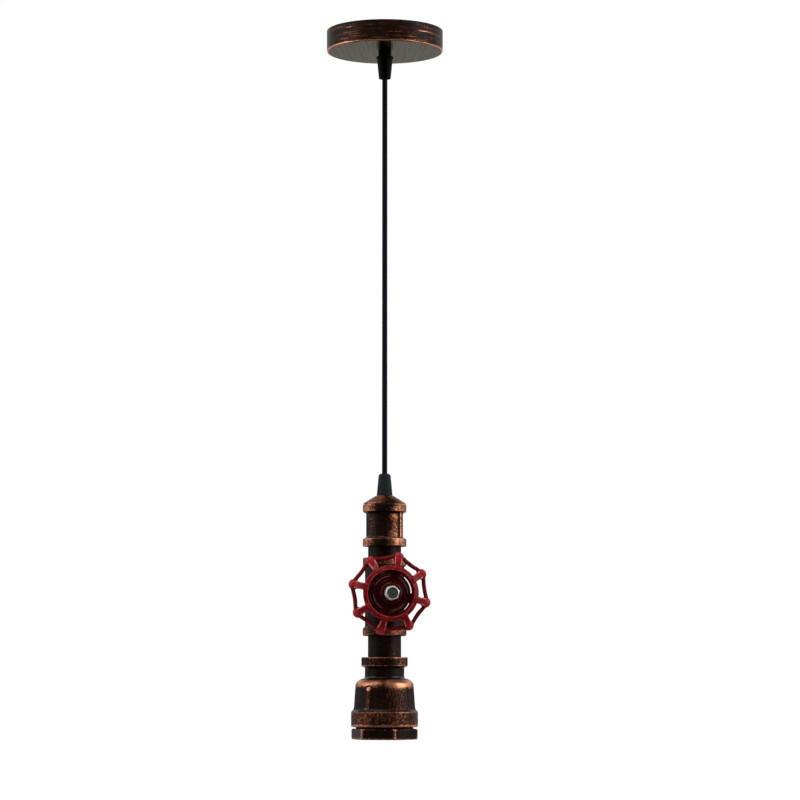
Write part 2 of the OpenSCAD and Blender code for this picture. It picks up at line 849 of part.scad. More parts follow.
module bell_reducer() {
    neck_r = reducer_neck_d / 2;
    step = bell_top_d / 2 - neck_r;
    inner_step = cavity_r - core_bore_r;
    cavity_top_z = shoulder_z - 2;
    color(rustic) difference() {
        union() {
            lathe(concat(
                [[0, reducer_top_z]],
                band_edge(reducer_top_d / 2, neck_r, reducer_top_z, reducer_top_band_h, -1),
                [
                    [neck_r, shoulder_z + 1],
                    [neck_r + step * 0.35, shoulder_z - shoulder_h * 0.14],
                    [neck_r + step * 0.7, shoulder_z - shoulder_h * 0.36],
                    [neck_r + step * 0.92, shoulder_z - shoulder_h * 0.66],
                    [bell_top_d / 2, bell_z],
                    [bell_low_d / 2, low_band_z + flare_h],
                    [reducer_low_d / 2 - edge, low_band_z],
                    [reducer_low_d / 2, low_band_z - edge],
                    [reducer_low_d / 2, reducer_end_z + edge],
                    [reducer_low_d / 2 - edge, reducer_end_z],
                    [0, reducer_end_z]
                ]
            ));
            reducer_rib();
        }
        rod(socket_r, reducer_top_z - socket_depth, reducer_top_z + through);
        rod(core_bore_r, cavity_top_z - 2, reducer_top_z);
        lathe([
            [0, cavity_top_z], [core_bore_r, cavity_top_z],
            [core_bore_r + inner_step * 0.6, cavity_top_z - shoulder_h * 0.45],
            [cavity_r, cavity_top_z - shoulder_h], [cavity_r, ledge_z + ledge_h],
            [ledge_r, ledge_z + ledge_h - 1], [ledge_r, ledge_z - eps], [0, ledge_z - eps]
        ]);
        rod(bush_socket_r, reducer_end_z - through, ledge_z);
    }
}

module hex_bush() {
    color(rustic) rotate([0, 0, hex_turn]) difference() {
        union() {
            rod(bush_r, flange_end_z, hex_top_z - eps);
            hex_rod(hex_af, hex_end_z, hex_top_z);
        }
        rod(bush_bore_r, hex_end_z - through, flange_end_z + through);
    }
}

module lampholder_body() {
    color(porcelain) difference() {
        union() {
            rod(holder_r, holder_mouth_z, holder_step_z);
            rod(holder_neck_r, holder_step_z - eps, holder_top_z);
            rod(holder_flange_r, flange_end_z, ledge_z);
        }
        rod(shell_r + thread_fit, holder_mouth_z - through, shell_top_z);
        rod(chamber_r, shell_top_z - eps, chamber_z);
        for (x = [live_x, neutral_x]) translate([x, 0, 0])
            rod(post_r + post_fit, shell_top_z - eps, holder_top_z + through);
    }
}

module lampholder_shell() {
    color(brass) difference() {
        rod(shell_r, shell_end_z, shell_top_z);
        rod(lamp_r, shell_end_z - through, shell_top_z - shell_t);
        rod(chamber_r + 0.4, shell_top_z - shell_t - through, shell_top_z + through);
    }
}

// Clamp blocks on the neck with their posts down to the tongue and to the shell
module lampholder_terminals() {
    color(brass) for (side = [[1, live_x, tongue_z], [-1, neutral_x, shell_top_z]]) difference() {
        union() {
            translate([side[0] * terminal_x - terminal_w / 2, -terminal_y / 2, holder_top_z])
                cube([terminal_w, terminal_y, terminal_h]);
            translate([side[1], 0, 0]) rod(post_r, side[2], holder_top_z + eps);
        }
        translate([side[0] * terminal_x, 0, 0])
            rod(terminal_screw_r + thread_fit, terminal_z - terminal_screw_len, terminal_z + through);
    }
}

module lampholder_screws() {
    color(zinc) both_sides() translate([terminal_x, 0, 0]) {
        rod(terminal_screw_r, terminal_z - terminal_screw_len + 0.2, terminal_z + eps);
        rod(terminal_head_r, terminal_z, terminal_z + terminal_head_h);
    }
}

module inner_cord() {
    color(black_flex) rod(cord_r, inner_sheath_end_z, inner_cord_top_z);
}

module lampholder_cores() {
    color(black_flex) both_sides() tube(lamp_core_route, core_d / 2, core_sides);
}

// Octagonal rim with a round lobe on each corner
module rim_outline() {
    for (k = [0:lobes - 1]) rotate(k * 360 / lobes) {
        translate([0, lobe_at]) circle(r = lobe_r);
        rotate(180 / lobes) translate([-bar_len / 2, bar_at - rim_bar_w / 2]) square([bar_len, rim_bar_w]);
    }
}

// One curved window through the web
module web_slot() {
    reach = slot_r * 2;
    half = slot_deg / 2;
    intersection() {
        difference() {
            circle(r = slot_r);
            circle(r = slot_inner_r);
        }
        polygon([[0, 0], [reach * sin(-half), reach * cos(half)], [reach * sin(half), reach * cos(half)]]);
    }
}

// A spoke that climbs from a lobe to the raised ring
module spoke() {
    run = lobe_at - spoke_in_r;
    climb = spoke_out - rim_mid;
    translate([0, lobe_at, rim_mid]) rotate([atan2(run, climb), 0, 0])
        cylinder(r = spoke_d / 2, h = norm([run, climb]));
}

module handwheel() {
    color(wheel_red) along_branch() rotate([0, 0, wheel_turn]) difference() {
        union() {
            translate([0, 0, rim_back]) linear_extrude(height = rim_t) rim_outline();
            for (k = [0:lobes - 1]) rotate([0, 0, k * 360 / lobes]) spoke();
            lathe([
                [ring_in_r, wheel_back], [ring_r - 1.2, ring_back], [ring_r, ring_back + 2],
                [ring_r, ring_out - 2.4], [ring_r - 1.6, ring_out - 0.4], [ring_r - ring_w * 0.5, ring_out],
                [ring_in_r + 0.8, ring_out - 0.8], [ring_in_r, ring_out - 3]
            ]);
            rod(ring_in_r + eps, wheel_back, wheel_back + web_t);
            rod(hub_d / 2, wheel_back, hub_out);
        }
        for (k = [0:slots - 1]) rotate([0, 0, (k + 0.5) * 360 / slots])
            translate([0, 0, wheel_back - through]) linear_extrude(height = web_t + 2 * through) web_slot();
        rod(spindle_r + thread_fit, wheel_back - through, drive_in + clear_gap);
        translate([0, 0, hub_out]) cube([drive_hole_w, drive_hole_w, 2 * hub_h], center = true);
    }
}

module valve_spindle() {
    color(zinc) along_branch() rotate([0, 0, wheel_turn]) {
        rod(spindle_collar_r, bonnet_in - run_gap - spindle_collar_h, bonnet_in - run_gap);
        rod(spindle_r, bonnet_in - run_gap - eps, drive_in);
        translate([-drive_w / 2, -drive_w / 2, drive_in - eps]) cube([drive_w, drive_w, hub_out - drive_in]);
        rod(stud_r, hub_out - 2, spindle_end);
    }
}

module wheel_washer() {
    color(zinc) along_branch() difference() {
        rod(washer_r, hub_out + eps, hub_out + washer_t);
        rod(stud_r + thread_fit, hub_out - through, hub_out + washer_t + through);
    }
}

module wheel_nut() {
    seat = hub_out + washer_t;
    color(zinc) along_branch() rotate([0, 0, wheel_turn]) difference() {
        union() {
            hex_rod(nut_af, seat, nut_out - nut_collar_h);
            rod(nut_af / 2 - 0.1, seat, nut_out);
        }
        rod(stud_r + thread_fit, seat - through, nut_out + through);
        rod(insert_r, nut_out - insert_h, nut_out + through);
    }
}

// Locking ring in the end of the wheel nut
module nut_insert() {
    color(black_nylon) along_branch() difference() {
        rod(insert_r - thread_fit, nut_out - insert_h + eps, nut_out - 0.5);
        rod(stud_r + thread_fit, nut_out - insert_h - through, nut_out);
    }
}

// Sprung centre contact, free at its inner end
module contact_tongue() {
    color(brass) translate([tongue_tip_x, -tongue_w / 2, tongue_z - tongue_t])
        cube([tongue_root_x - tongue_tip_x, tongue_w, tongue_t]);
}

ceiling_rose();
ceiling_bracket();
rose_screws();
terminal_block();
block_tubes();
block_screws();
block_fixing_screw();
earth_screw();
upper_grip_body();
upper_grip_locknut();
upper_grip_cap();
upper_grip_collet();
rose_cord();
rose_cores();
cord_flex();
pendant_cord();
lower_grip_cap();
lower_grip_body();
lower_grip_collet();
top_plug();
top_coupling();
upper_nipple();
valve_tee();
valve_bonnet();
gland_packing();
gland_nut();
lower_nipple();
bell_reducer();
hex_bush();
lampholder_body();
lampholder_shell();
lampholder_terminals();
lampholder_screws();
inner_cord();
lampholder_cores();
handwheel();
valve_spindle();
wheel_washer();
wheel_nut();
nut_insert();
contact_tongue();
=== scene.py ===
"""Looks of an industrial pipe pendant light, built around the light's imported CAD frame.

Everything is in metres and in the CAD frame: +Z up, the origin on the ceiling at the middle of the rose,
the light hanging along -Z and the handwheel looking along -Y.
"""

import functools
import json
import logging
import math
from collections.abc import Callable, Mapping, Sequence
from dataclasses import dataclass
from enum import Enum
from typing import Any, Protocol

import bpy
import numpy as np
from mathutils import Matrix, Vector


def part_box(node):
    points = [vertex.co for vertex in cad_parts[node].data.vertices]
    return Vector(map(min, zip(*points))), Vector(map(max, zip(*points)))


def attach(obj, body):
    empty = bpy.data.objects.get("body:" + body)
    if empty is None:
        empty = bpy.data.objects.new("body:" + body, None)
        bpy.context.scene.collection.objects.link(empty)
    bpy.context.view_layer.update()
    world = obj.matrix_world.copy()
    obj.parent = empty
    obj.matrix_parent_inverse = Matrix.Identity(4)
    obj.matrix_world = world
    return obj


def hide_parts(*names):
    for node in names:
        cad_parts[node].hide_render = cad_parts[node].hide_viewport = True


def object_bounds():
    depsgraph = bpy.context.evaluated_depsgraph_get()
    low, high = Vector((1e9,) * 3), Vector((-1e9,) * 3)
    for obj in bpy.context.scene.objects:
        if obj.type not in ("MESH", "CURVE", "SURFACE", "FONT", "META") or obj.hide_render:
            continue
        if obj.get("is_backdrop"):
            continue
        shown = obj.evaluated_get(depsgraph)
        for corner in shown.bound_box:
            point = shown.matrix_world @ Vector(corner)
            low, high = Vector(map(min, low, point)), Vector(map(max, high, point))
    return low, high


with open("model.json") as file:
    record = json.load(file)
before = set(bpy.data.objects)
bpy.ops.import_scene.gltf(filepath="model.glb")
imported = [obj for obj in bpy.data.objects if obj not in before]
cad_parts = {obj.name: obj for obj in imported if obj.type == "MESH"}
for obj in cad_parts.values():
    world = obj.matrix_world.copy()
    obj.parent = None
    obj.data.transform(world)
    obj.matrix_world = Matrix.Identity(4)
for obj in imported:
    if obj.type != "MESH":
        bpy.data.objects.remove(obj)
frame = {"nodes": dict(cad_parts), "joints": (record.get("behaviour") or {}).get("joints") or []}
CAD_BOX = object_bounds()

LOG = logging.getLogger("pendant")
MM = 0.001
TURN = 2 * math.pi

Array = np.ndarray
Piece = bpy.types.Object
Material = bpy.types.Material
Socket = bpy.types.NodeSocket
Corner = tuple[float, float, float]
Bend = Callable[[Array, Array, Array], Array]


# Small shared tools


def linear(code: str) -> tuple[float, float, float, float]:
    """Turns an sRGB hex colour into linear light.

    Args:
        code: colour such as "#C47F5C".

    Returns:
        Red, green and blue in linear light, and an alpha of 1.
    """
    part = np.array([int(code[i : i + 2], 16) for i in (1, 3, 5)]) / 255
    light = np.where(part <= 0.04045, part / 12.92, ((part + 0.055) / 1.055) ** 2.4)
    return (*light.tolist(), 1.0)


def per_mm(size: float) -> float:
    """Texture scale at which one feature is about this many millimetres wide."""
    return 1 / (size * MM)


def feed(node: bpy.types.Node, inputs: Mapping[str | int, Any]) -> None:
    """Fills a node's inputs, by a link from a socket or by a constant on the input itself.

    Args:
        node: node to fill.
        inputs: sockets to link from, or plain values, by input name or number.
    """
    for key, value in inputs.items():
        if isinstance(value, Socket):
            node.id_data.links.new(value, node.inputs[key])
        else:
            node.inputs[key].default_value = value


def add_node(
    tree: bpy.types.NodeTree,
    kind: str,
    inputs: Mapping[str | int, Any] | None = None,
    out: str | int = 0,
    **settings: Any,
) -> Socket:
    """Adds one shader node with its settings, values and links.

    Args:
        tree: node tree that the node joins.
        kind: node type, without its ShaderNode prefix.
        inputs: sockets to link from, or plain values, by input name or number.
        out: output that is wanted, by name or number.
        settings: properties of the node.

    Returns:
        The wanted output, which also knows its node.
    """
    node = tree.nodes.new("ShaderNode" + kind)
    for name, value in settings.items():
        setattr(node, name, value)
    feed(node, inputs or {})
    return node.outputs[out]


def blank_material(name: str) -> tuple[Material, bpy.types.Node, Callable[..., Socket]]:
    """Makes a material that holds only its shader.

    Args:
        name: name of the real finish.

    Returns:
        The material, its Principled shader, and add_node for its own tree.
    """
    material = bpy.data.materials.new(name)
    material.use_nodes = True
    tree = material.node_tree
    return material, tree.nodes["Principled BSDF"], functools.partial(add_node, tree)


def ease(value: Array, low: float, high: float) -> Array:
    """Smooth step from 0 at low to 1 at high."""
    share = np.clip((value - low) / (high - low), 0, 1)
    return share * share * (3 - 2 * share)


def bell(value: Array, middle: float, width: float) -> Array:
    """Bell curve that is 1 at the middle and fades over the width on both sides."""
    return np.exp(-(((value - middle) / width) ** 2))


def from_axis(points: Array) -> Array:
    """Distance of each point from the pipe's axis."""
    return np.hypot(points[:, 0], points[:, 1])


def waves(points: Array, size: float, seed: int) -> Array:
    """Seeded unevenness: the sum of sine waves of about one size that run in random directions.

    Args:
        points: places in space, one row each.
        size: usual wave length.
        seed: choice of the waves.

    Returns:
        About -1 to 1 for each point.
    """
    count, shortest, longest = 18, 0.7, 1.5
    draw = np.random.default_rng(seed)
    heading = draw.normal(size=(count, 3))
    heading /= np.linalg.norm(heading, axis=1, keepdims=True)
    length = size * draw.uniform(shortest, longest, count)
    phase = draw.uniform(0, TURN, count)
    return np.sin(points @ (TURN * heading / length[:, None]).T + phase).sum(1) / math.sqrt(count)


@dataclass(frozen=True)
class Extent:
    """Place of a CAD node along the pipe's axis and out along the branch, and half its width."""

    top: float
    end: float
    radius: float
    front: float
    back: float

    @classmethod
    def of(cls, node: str) -> "Extent":
        """Reads the place of a node from the frame."""
        low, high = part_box(node)
        return cls(high.z, low.z, (high.x - low.x) / 2, -low.y, -high.y)


BRANCH_Z = next(joint for joint in frame["joints"] if joint["name"] == "wheel_spin")["pos_m"][2]


# Shapes as whole arrays


@dataclass(frozen=True)
class Skin:
    """Closed skin: rows of closed loops that join end to start, or that are capped at both ends."""

    points: Array
    ring: bool

    def faces(self) -> list[list[int]]:
        """Faces between neighbouring loops, turned so that they look outwards.

        They look outwards where the volume, the sum of a . (b x c) over all triangles, is positive.

        Returns:
            Corner numbers of every quad, and of the two caps of an open row of loops.
        """
        rows, cols = self.points.shape[:2]
        row = np.arange(rows if self.ring else rows - 1)[:, None] * cols
        after = (row + cols) % (rows * cols)
        near = np.arange(cols)
        far = np.roll(near, -1)
        quads = np.stack([row + near, row + far, after + far, after + near], -1).reshape(-1, 4)
        caps = [] if self.ring else [near[::-1], near + (rows - 1) * cols]
        fans = [np.stack([np.full(cols - 2, cap[0]), cap[1:-1], cap[2:]], -1) for cap in caps]
        triangles = np.concatenate([quads[:, [0, 1, 2]], quads[:, [0, 2, 3]], *fans])
        a, b, c = np.moveaxis(self.points.reshape(-1, 3)[triangles], 1, 0)
        turn = 1 if (a * np.cross(b, c)).sum() > 0 else -1
        return [face[::turn] for face in [*quads.tolist(), *(cap.tolist() for cap in caps)]]


def shade(mesh: bpy.types.Mesh, crease_deg: float = 38.0) -> None:
    """Shades a mesh smooth, with creases where faces meet at more than an angle.

    Args:
        mesh: mesh to shade.
        crease_deg: angle from which an edge stays sharp.
    """
    mesh.polygons.foreach_set("use_smooth", np.ones(len(mesh.polygons), bool))
    mesh.set_sharp_from_angle(angle=math.radians(crease_deg))
    mesh.update()


def piece_of(name: str, *skins: Skin) -> Piece:
    """Puts closed skins into one mesh object at the origin.

    Args:
        name: name of the piece.
        skins: skins that the mesh holds.

    Returns:
        The new object, smooth where its faces meet gently.
    """
    points = np.concatenate([skin.points.reshape(-1, 3) for skin in skins])
    first = np.cumsum([0, *(skin.points[..., 0].size for skin in skins)])
    faces = [
        [corner + start for corner in face] for skin, start in zip(skins, first) for face in skin.faces()
    ]
    mesh = bpy.data.meshes.new(name)
    mesh.from_pydata(points, [], faces)
    shade(mesh)
    piece = bpy.data.objects.new(name, mesh)
    bpy.context.scene.collection.objects.link(piece)
    return piece


def outline(corners: Sequence[Corner], step: float) -> Array:
    """Closed outline whose corners are rounded and whose straight runs are divided.

    A corner becomes the curve (1-t)^2 a + 2t(1-t) c + t^2 b between points a and b on its two sides, which
    lie at the corner's round from it, or nearly half way to the next corner where that is nearer.

    Args:
        corners: radius, height and round of each corner in turn.
        step: longest stretch between two points.

    Returns:
        Radius and height of each point.
    """
    half_way, bend_points, closest = 0.48, 7, 1e-7
    spots = np.array(corners)
    at, size = spots[:, :2], spots[:, 2:]
    back, ahead = np.roll(at, 1, 0) - at, np.roll(at, -1, 0) - at
    back_len, ahead_len = (np.linalg.norm(side, axis=1, keepdims=True) for side in (back, ahead))
    reach = np.minimum(size, half_way * np.minimum(back_len, ahead_len))
    start, end = at + back / back_len * reach, at + ahead / ahead_len * reach
    t = np.linspace(0, 1, bend_points)[None, :, None]
    bends = (1 - t) ** 2 * start[:, None] + 2 * t * (1 - t) * at[:, None] + t**2 * end[:, None]
    points = bends.reshape(-1, 2)
    points = points[np.linalg.norm(points - np.roll(points, 1, 0), axis=1) > closest]
    runs = []
    for here, there in zip(points, np.roll(points, -1, 0)):
        count = max(1, math.ceil(np.linalg.norm(there - here) / step))
        runs.append(here + (there - here) * (np.arange(count) / count)[:, None])
    return np.concatenate(runs)


def lathe(
    corners: Sequence[Corner], segments: int = 192, bend: Bend | None = None, step: float = 0.7 * MM
) -> Skin:
    """Turns a closed outline about Z: x = r cos a, y = r sin a, where a bend may change r.

    Args:
        corners: radius, height and round of each corner of the outline.
        segments: steps round the axis.
        bend: gives the radius from angle, radius and height, where the piece isn't round.
        step: longest stretch between two points of the outline.

    Returns:
        The closed skin.
    """
    profile = outline(corners, step)
    angle = np.linspace(0, TURN, segments, endpoint=False)[:, None]
    radius, height = (np.broadcast_to(part, (segments, len(profile))) for part in profile.T)
    radius = bend(angle, radius, height) if bend else radius
    return Skin(np.stack([radius * np.cos(angle), radius * np.sin(angle), height], -1), True)


def hexagon(across: float, turn: float, soft: float) -> Bend:
    """Makes a bend that trims a round piece to a hexagon, as a wrench face trims a turned bar.

    The flats lie at r = h / cos(a), and the corners are eased by the smooth minimum of that and the turned
    radius. What lies well inside the flats stays round.

    Args:
        across: width across the flats.
        turn: angle of one corner.
        soft: round of the edges.

    Returns:
        The bend for a lathe.
    """
    half, inside = across / 2, 0.86

    def bend(angle: Array, radius: Array, height: Array) -> Array:
        """Radius of the trimmed piece.

        Args:
            angle: angle round the axis.
            radius: radius of the turned piece.
            height: height along the axis, which doesn't matter here.

        Returns:
            The radius of each point.
        """
        off = (angle - turn) % (TURN / 6) - TURN / 12
        flat = half / np.cos(off) + 0 * radius
        trimmed = -soft * np.log(np.exp(-(radius - half) / soft) + np.exp(-(flat - half) / soft)) + half
        return np.where(radius > half * inside, trimmed, radius)

    return bend


def oval(count: int, power: float) -> Array:
    """Points round the superellipse |x|^p + |y|^p = 1.

    Args:
        count: number of points.
        power: p, which is 2 for a circle and more for a squarer shape.

    Returns:
        The x and y of each point.
    """
    angle = np.linspace(0, TURN, count, endpoint=False)
    round_xy = np.stack([np.cos(angle), np.sin(angle)], -1)
    return np.sign(round_xy) * np.abs(round_xy) ** (2 / power)


def sweep(path: Array, section: Array, level: Sequence[float]) -> Skin:
    """Carries a closed section along an open path, with capped ends.

    Each point is path + u * across + v * rise, where across is the level direction made square to the path.

    Args:
        path: points of the path.
        section: u and v of each point, once for all rows or for each row.
        level: direction that u stays nearest to.

    Returns:
        The closed skin.
    """
    heading = np.gradient(path, axis=0)
    heading /= np.linalg.norm(heading, axis=1, keepdims=True)
    across = np.array(level) - heading * (heading @ np.array(level))[:, None]
    across /= np.linalg.norm(across, axis=1, keepdims=True)
    rise = np.cross(heading, across)
    section = np.broadcast_to(section, (len(path), *section.shape[-2:]))
    offset = section[..., :1] * across[:, None] + section[..., 1:] * rise[:, None]
    return Skin(path[:, None] + offset, False)


def bore(radius: float, low: float, high: float) -> Skin:
    """Solid round bar about Z, as a cutter for a bore."""
    return sweep(np.array([[0, 0, low], [0, 0, high]]), oval(128, 2) * radius, (1, 0, 0))


def along_branch(skin: Skin) -> Skin:
    """Lays a skin along the tee's branch: its Z runs out along -Y, and its Y points up."""
    x, up, out = np.moveaxis(skin.points, -1, 0)
    return Skin(np.stack([x, -out, up + BRANCH_Z], -1), skin.ring)


def baked(piece: Piece) -> Piece:
    """Replaces a piece's mesh by what its modifiers make of it.

    Args:
        piece: object with live modifiers.

    Returns:
        The same object, with no modifiers left.
    """
    graph = bpy.context.evaluated_depsgraph_get()
    mesh = bpy.data.meshes.new_from_object(piece.evaluated_get(graph))
    mesh.materials.clear()
    piece.modifiers.clear()
    piece.data = mesh
    shade(mesh)
    return piece


def cast(name: str, voxel: float, rounds: int, *skins: Skin) -> Piece:
    """Welds overlapping skins into one casting with flowing inner corners.

    Args:
        name: name of the piece.
        voxel: size of the cells in which the skins are welded.
        rounds: rounds of smoothing, which open the fillets.
        skins: closed skins that overlap.

    Returns:
        The cast piece.
    """
    piece = piece_of(name, *skins)
    weld = piece.modifiers.new("weld", "REMESH")
    weld.mode = "VOXEL"
    weld.voxel_size = voxel
    flow = piece.modifiers.new("flow", "SMOOTH")
    flow.factor = 0.5
    flow.iterations = rounds
    return baked(piece)


def drilled(piece: Piece, *cutters: Skin) -> Piece:
    """Cuts holes through a piece.

    Args:
        piece: closed piece.
        cutters: closed skins of the holes.

    Returns:
        The same piece with the holes.
    """
    tools = [piece_of(f"cutter_{i}", skin) for i, skin in enumerate(cutters)]
    for tool in tools:
        hole = piece.modifiers.new("hole", "BOOLEAN")
        hole.operation = "DIFFERENCE"
        hole.solver = "MANIFOLD"
        hole.object = tool
    baked(piece)
    for tool in tools:
        bpy.data.objects.remove(tool)
    return piece


# What is read from and painted on a finished mesh


def rows_of(items: bpy.types.bpy_prop_collection, name: str) -> Array:
    """Reads one vector of every item of a mesh.

    Args:
        items: vertices, normals or faces of the mesh.
        name: vector to read.

    Returns:
        One row for each item.
    """
    flat = np.empty(len(items) * 3, np.float32)
    items.foreach_get(name, flat)
    return flat.reshape(-1, 3).astype(float)


def vertices(piece: Piece) -> Array:
    """Places of a piece's vertices, one row each."""
    return rows_of(piece.data.vertices, "co")


def normals(piece: Piece) -> Array:
    """Outward directions at a piece's vertices, one row each."""
    return rows_of(piece.data.vertex_normals, "vector")


def centres(piece: Piece) -> Array:
    """Middles of a piece's faces, one row each."""
    return rows_of(piece.data.polygons, "center")


def roughen(piece: Piece, depth: float, size: float, seed: int) -> None:
    """Gives a casting the slight waviness of its sand mould.

    Args:
        piece: casting to change.
        depth: height of the waves.
        size: length of the waves.
        seed: choice of the waves.
    """
    points = vertices(piece)
    points += normals(piece) * (depth * waves(points, size, seed))[:, None]
    piece.data.vertices.foreach_set("co", points.astype(np.float32).ravel())
    piece.data.update()


def relief(piece: Piece, rounds: int) -> Array:
    """How far each vertex stands out of its neighbourhood, as its distance to the smoothed surface.

    Args:
        piece: piece to measure.
        rounds: rounds of smoothing, which set the size of the neighbourhood.

    Returns:
        Height along the normal, positive on edges and negative in coves.
    """
    points = vertices(piece)
    ends = np.empty(len(piece.data.edges) * 2, np.int32)
    piece.data.edges.foreach_get("vertices", ends)
    one, two = ends[::2], ends[1::2]
    start, end = np.concatenate([one, two]), np.concatenate([two, one])
    count = np.maximum(np.bincount(start, minlength=len(points)), 1)
    smooth = points
    for _ in range(rounds):
        near = [np.bincount(start, smooth[end, axis], len(points)) / count for axis in range(3)]
        smooth = 0.5 * smooth + 0.5 * np.stack(near, -1)
    return ((points - smooth) * normals(piece)).sum(1)


def facing_share(piece: Piece, azimuth: float, half_deg: float) -> Array:
    """Share that is 1 on the side of a round piece that looks one way, and fades to 0 beside it.

    Args:
        piece: piece about the pipe's axis.
        azimuth: direction, in degrees from the front to the right.
        half_deg: angle over which the share fades.

    Returns:
        The share of each vertex.
    """
    points = vertices(piece)
    off = np.degrees(np.arctan2(points[:, 0], -points[:, 1])) - azimuth
    return bell((off + 180) % 360 - 180, 0.0, half_deg)


def paint(piece: Piece, name: str, value: Array) -> None:
    """Stores a share from 0 to 1 on each vertex, for the piece's material."""
    layer = piece.data.attributes.new(name, "FLOAT", "POINT")
    layer.data.foreach_set("value", np.clip(value, 0, 1).astype(np.float32))


def split_finishes(piece: Piece, choice: Array) -> None:
    """Gives each face the material of a number."""
    piece.data.polygons.foreach_set("material_index", choice.astype(np.int32))


@dataclass(frozen=True)
class Patch:
    """More or less copper on one side of a round piece, which fades over an angle in degrees."""

    share: float
    azimuth: float
    half_deg: float

    def on(self, piece: Piece) -> Array:
        """Share that the patch adds to each vertex."""
        return self.share * facing_share(piece, self.azimuth, self.half_deg)


@dataclass(frozen=True)
class Rub:
    """How a cloth with copper catches on a piece: more on edges, less in coves, in patches, and less on
    faces that look down, which is painted shade.

    The lacquer under it pooled in the coves that look up and is glossy there, apart from the front, where
    the gloss is left off so that the front keeps a dark reflection.
    """

    edges: float
    seed: int
    uneven: float = 0.16
    rounds: int = 14
    edge_rise: tuple[float, float] = (0.03 * MM, 0.3 * MM)
    cove_drop: tuple[float, float] = (0.03 * MM, 0.2 * MM)
    patch_size: float = 22 * MM
    # Painted shade: copper taken off the faces that look down
    under_share: float = 0.6
    under_tilt: tuple[float, float] = (0.15, 0.75)
    pool_share: float = 0.5
    pool_tilt: tuple[float, float] = (0.05, 0.35)
    # Front where the pooled gloss is left off, so that the front keeps a dark reflection
    wiped: Patch = Patch(0.8, -8, 20)

    def on(self, piece: Piece, base: Array, pooled: Array | float = 0.0) -> None:
        """Paints the share of copper and of pooled lacquer.

        Args:
            piece: piece to paint.
            base: share of copper of each vertex before wear.
            pooled: further share of pooled lacquer, where a cove is too gentle to count as one.
        """
        high = relief(piece, self.rounds)
        rise = normals(piece)[:, 2]
        wear = self.edges * (ease(high, *self.edge_rise) - ease(-high, *self.edge_rise))
        # Painted shade under things: less copper where the faces look down
        under = self.under_share * ease(-rise, *self.under_tilt)
        uneven = self.uneven * waves(vertices(piece), self.patch_size, self.seed)
        paint(piece, "rub", base + wear - under + uneven)
        cove = ease(-high, *self.cove_drop) * ease(rise, *self.pool_tilt)
        paint(piece, "pool", (self.pool_share * cove + pooled) * (1 - self.wiped.on(piece)))


# Finishes


class Stroke(Enum):
    """How the copper was rubbed on, as the length of its marks along X, Y and Z in millimetres."""

    DABBED = (2.4, 2.4, 2.4)
    UPRIGHT = (1.2, 1.2, 7.0)
    LEVEL = (30.0, 30.0, 1.1)


@dataclass(frozen=True)
class RubbedCopper:
    """Black lacquer over iron, dry brushed with copper: dull ground, soft metal shine where it caught."""

    name: str
    stroke: Stroke
    ground: str = "#070606"
    ground_warm: str = "#1C0B04"
    copper: str = "#C28566"
    copper_deep: str = "#7A3614"
    # Real specks are finer than a pixel of the photograph, so the grain is drawn coarser
    grain_mm: float = 0.9
    patch_mm: float = 9.0
    pit_depth_mm: float = 0.1
    pit_strength: float = 0.35
    mark_detail: float = 6.0
    mark_rough: float = 0.66
    mark_share: float = 1.5
    grain_share: float = 1.1
    catch: tuple[float, float] = (1.45, 2.3)
    ground_rough: tuple[float, float] = (0.32, 0.46)
    copper_rough: tuple[float, float] = (0.28, 0.42)
    metal_share: float = 0.92
    gloss: float = 0.06
    pool_rough: float = 0.26

    @functools.cache
    def material(self) -> Material:
        """Mixes lacquer and copper by the painted rub, broken up by strokes and grain.

        A clear coat lies where the lacquer is painted as pooled.

        Returns:
            The finished material.
        """
        material, shader, add = blank_material(self.name)
        place = add("TexCoord", out="Object")
        spread = tuple(per_mm(length) for length in self.stroke.value)
        brushed = add("Mapping", {"Vector": place, "Scale": spread})
        drawn = {"Vector": brushed, "Scale": 1.0, "Detail": self.mark_detail, "Roughness": self.mark_rough}
        marks = add("TexNoise", drawn, "Fac")
        grain = add("TexNoise", {"Vector": place, "Scale": per_mm(self.grain_mm), "Detail": 2.0}, "Fac")
        patch = add("TexNoise", {"Vector": place, "Scale": per_mm(self.patch_mm), "Detail": 3.0}, "Fac")
        rub = add("Attribute", out="Fac", attribute_name="rub")
        pool = add("Attribute", out="Fac", attribute_name="pool")
        broken = add("Math", {0: marks, 1: self.mark_share, 2: rub}, operation="MULTIPLY_ADD")
        grainy = add("Math", {0: grain, 1: self.grain_share, 2: broken}, operation="MULTIPLY_ADD")
        low, high = self.catch
        limits = {"Value": grainy, "From Min": low, "From Max": high}
        caught = add("MapRange", limits, interpolation_type="SMOOTHSTEP")
        grounds = {0: patch, 6: linear(self.ground), 7: linear(self.ground_warm)}
        ground = add("Mix", grounds, 2, data_type="RGBA")
        coppers = {0: caught, 6: linear(self.copper_deep), 7: linear(self.copper)}
        copper = add("Mix", coppers, 2, data_type="RGBA")
        dull, bright = (
            add("MapRange", {"Value": grain, "To Min": fine, "To Max": coarse})
            for fine, coarse in (self.ground_rough, self.copper_rough)
        )
        pits = {"Height": grainy, "Strength": self.pit_strength, "Distance": self.pit_depth_mm * MM}
        feed(shader, {
            "Base Color": add("Mix", {0: caught, 6: ground, 7: copper}, 2, data_type="RGBA"),
            "Metallic": add("Math", {0: caught, 1: self.metal_share}, operation="MULTIPLY"),
            "Roughness": add("Mix", {0: caught, 2: dull, 3: bright}),
            "Normal": add("Bump", pits),
            "Specular IOR Level": self.gloss,
            "Coat Weight": pool,
            "Coat Roughness": self.pool_rough,
        })
        return material


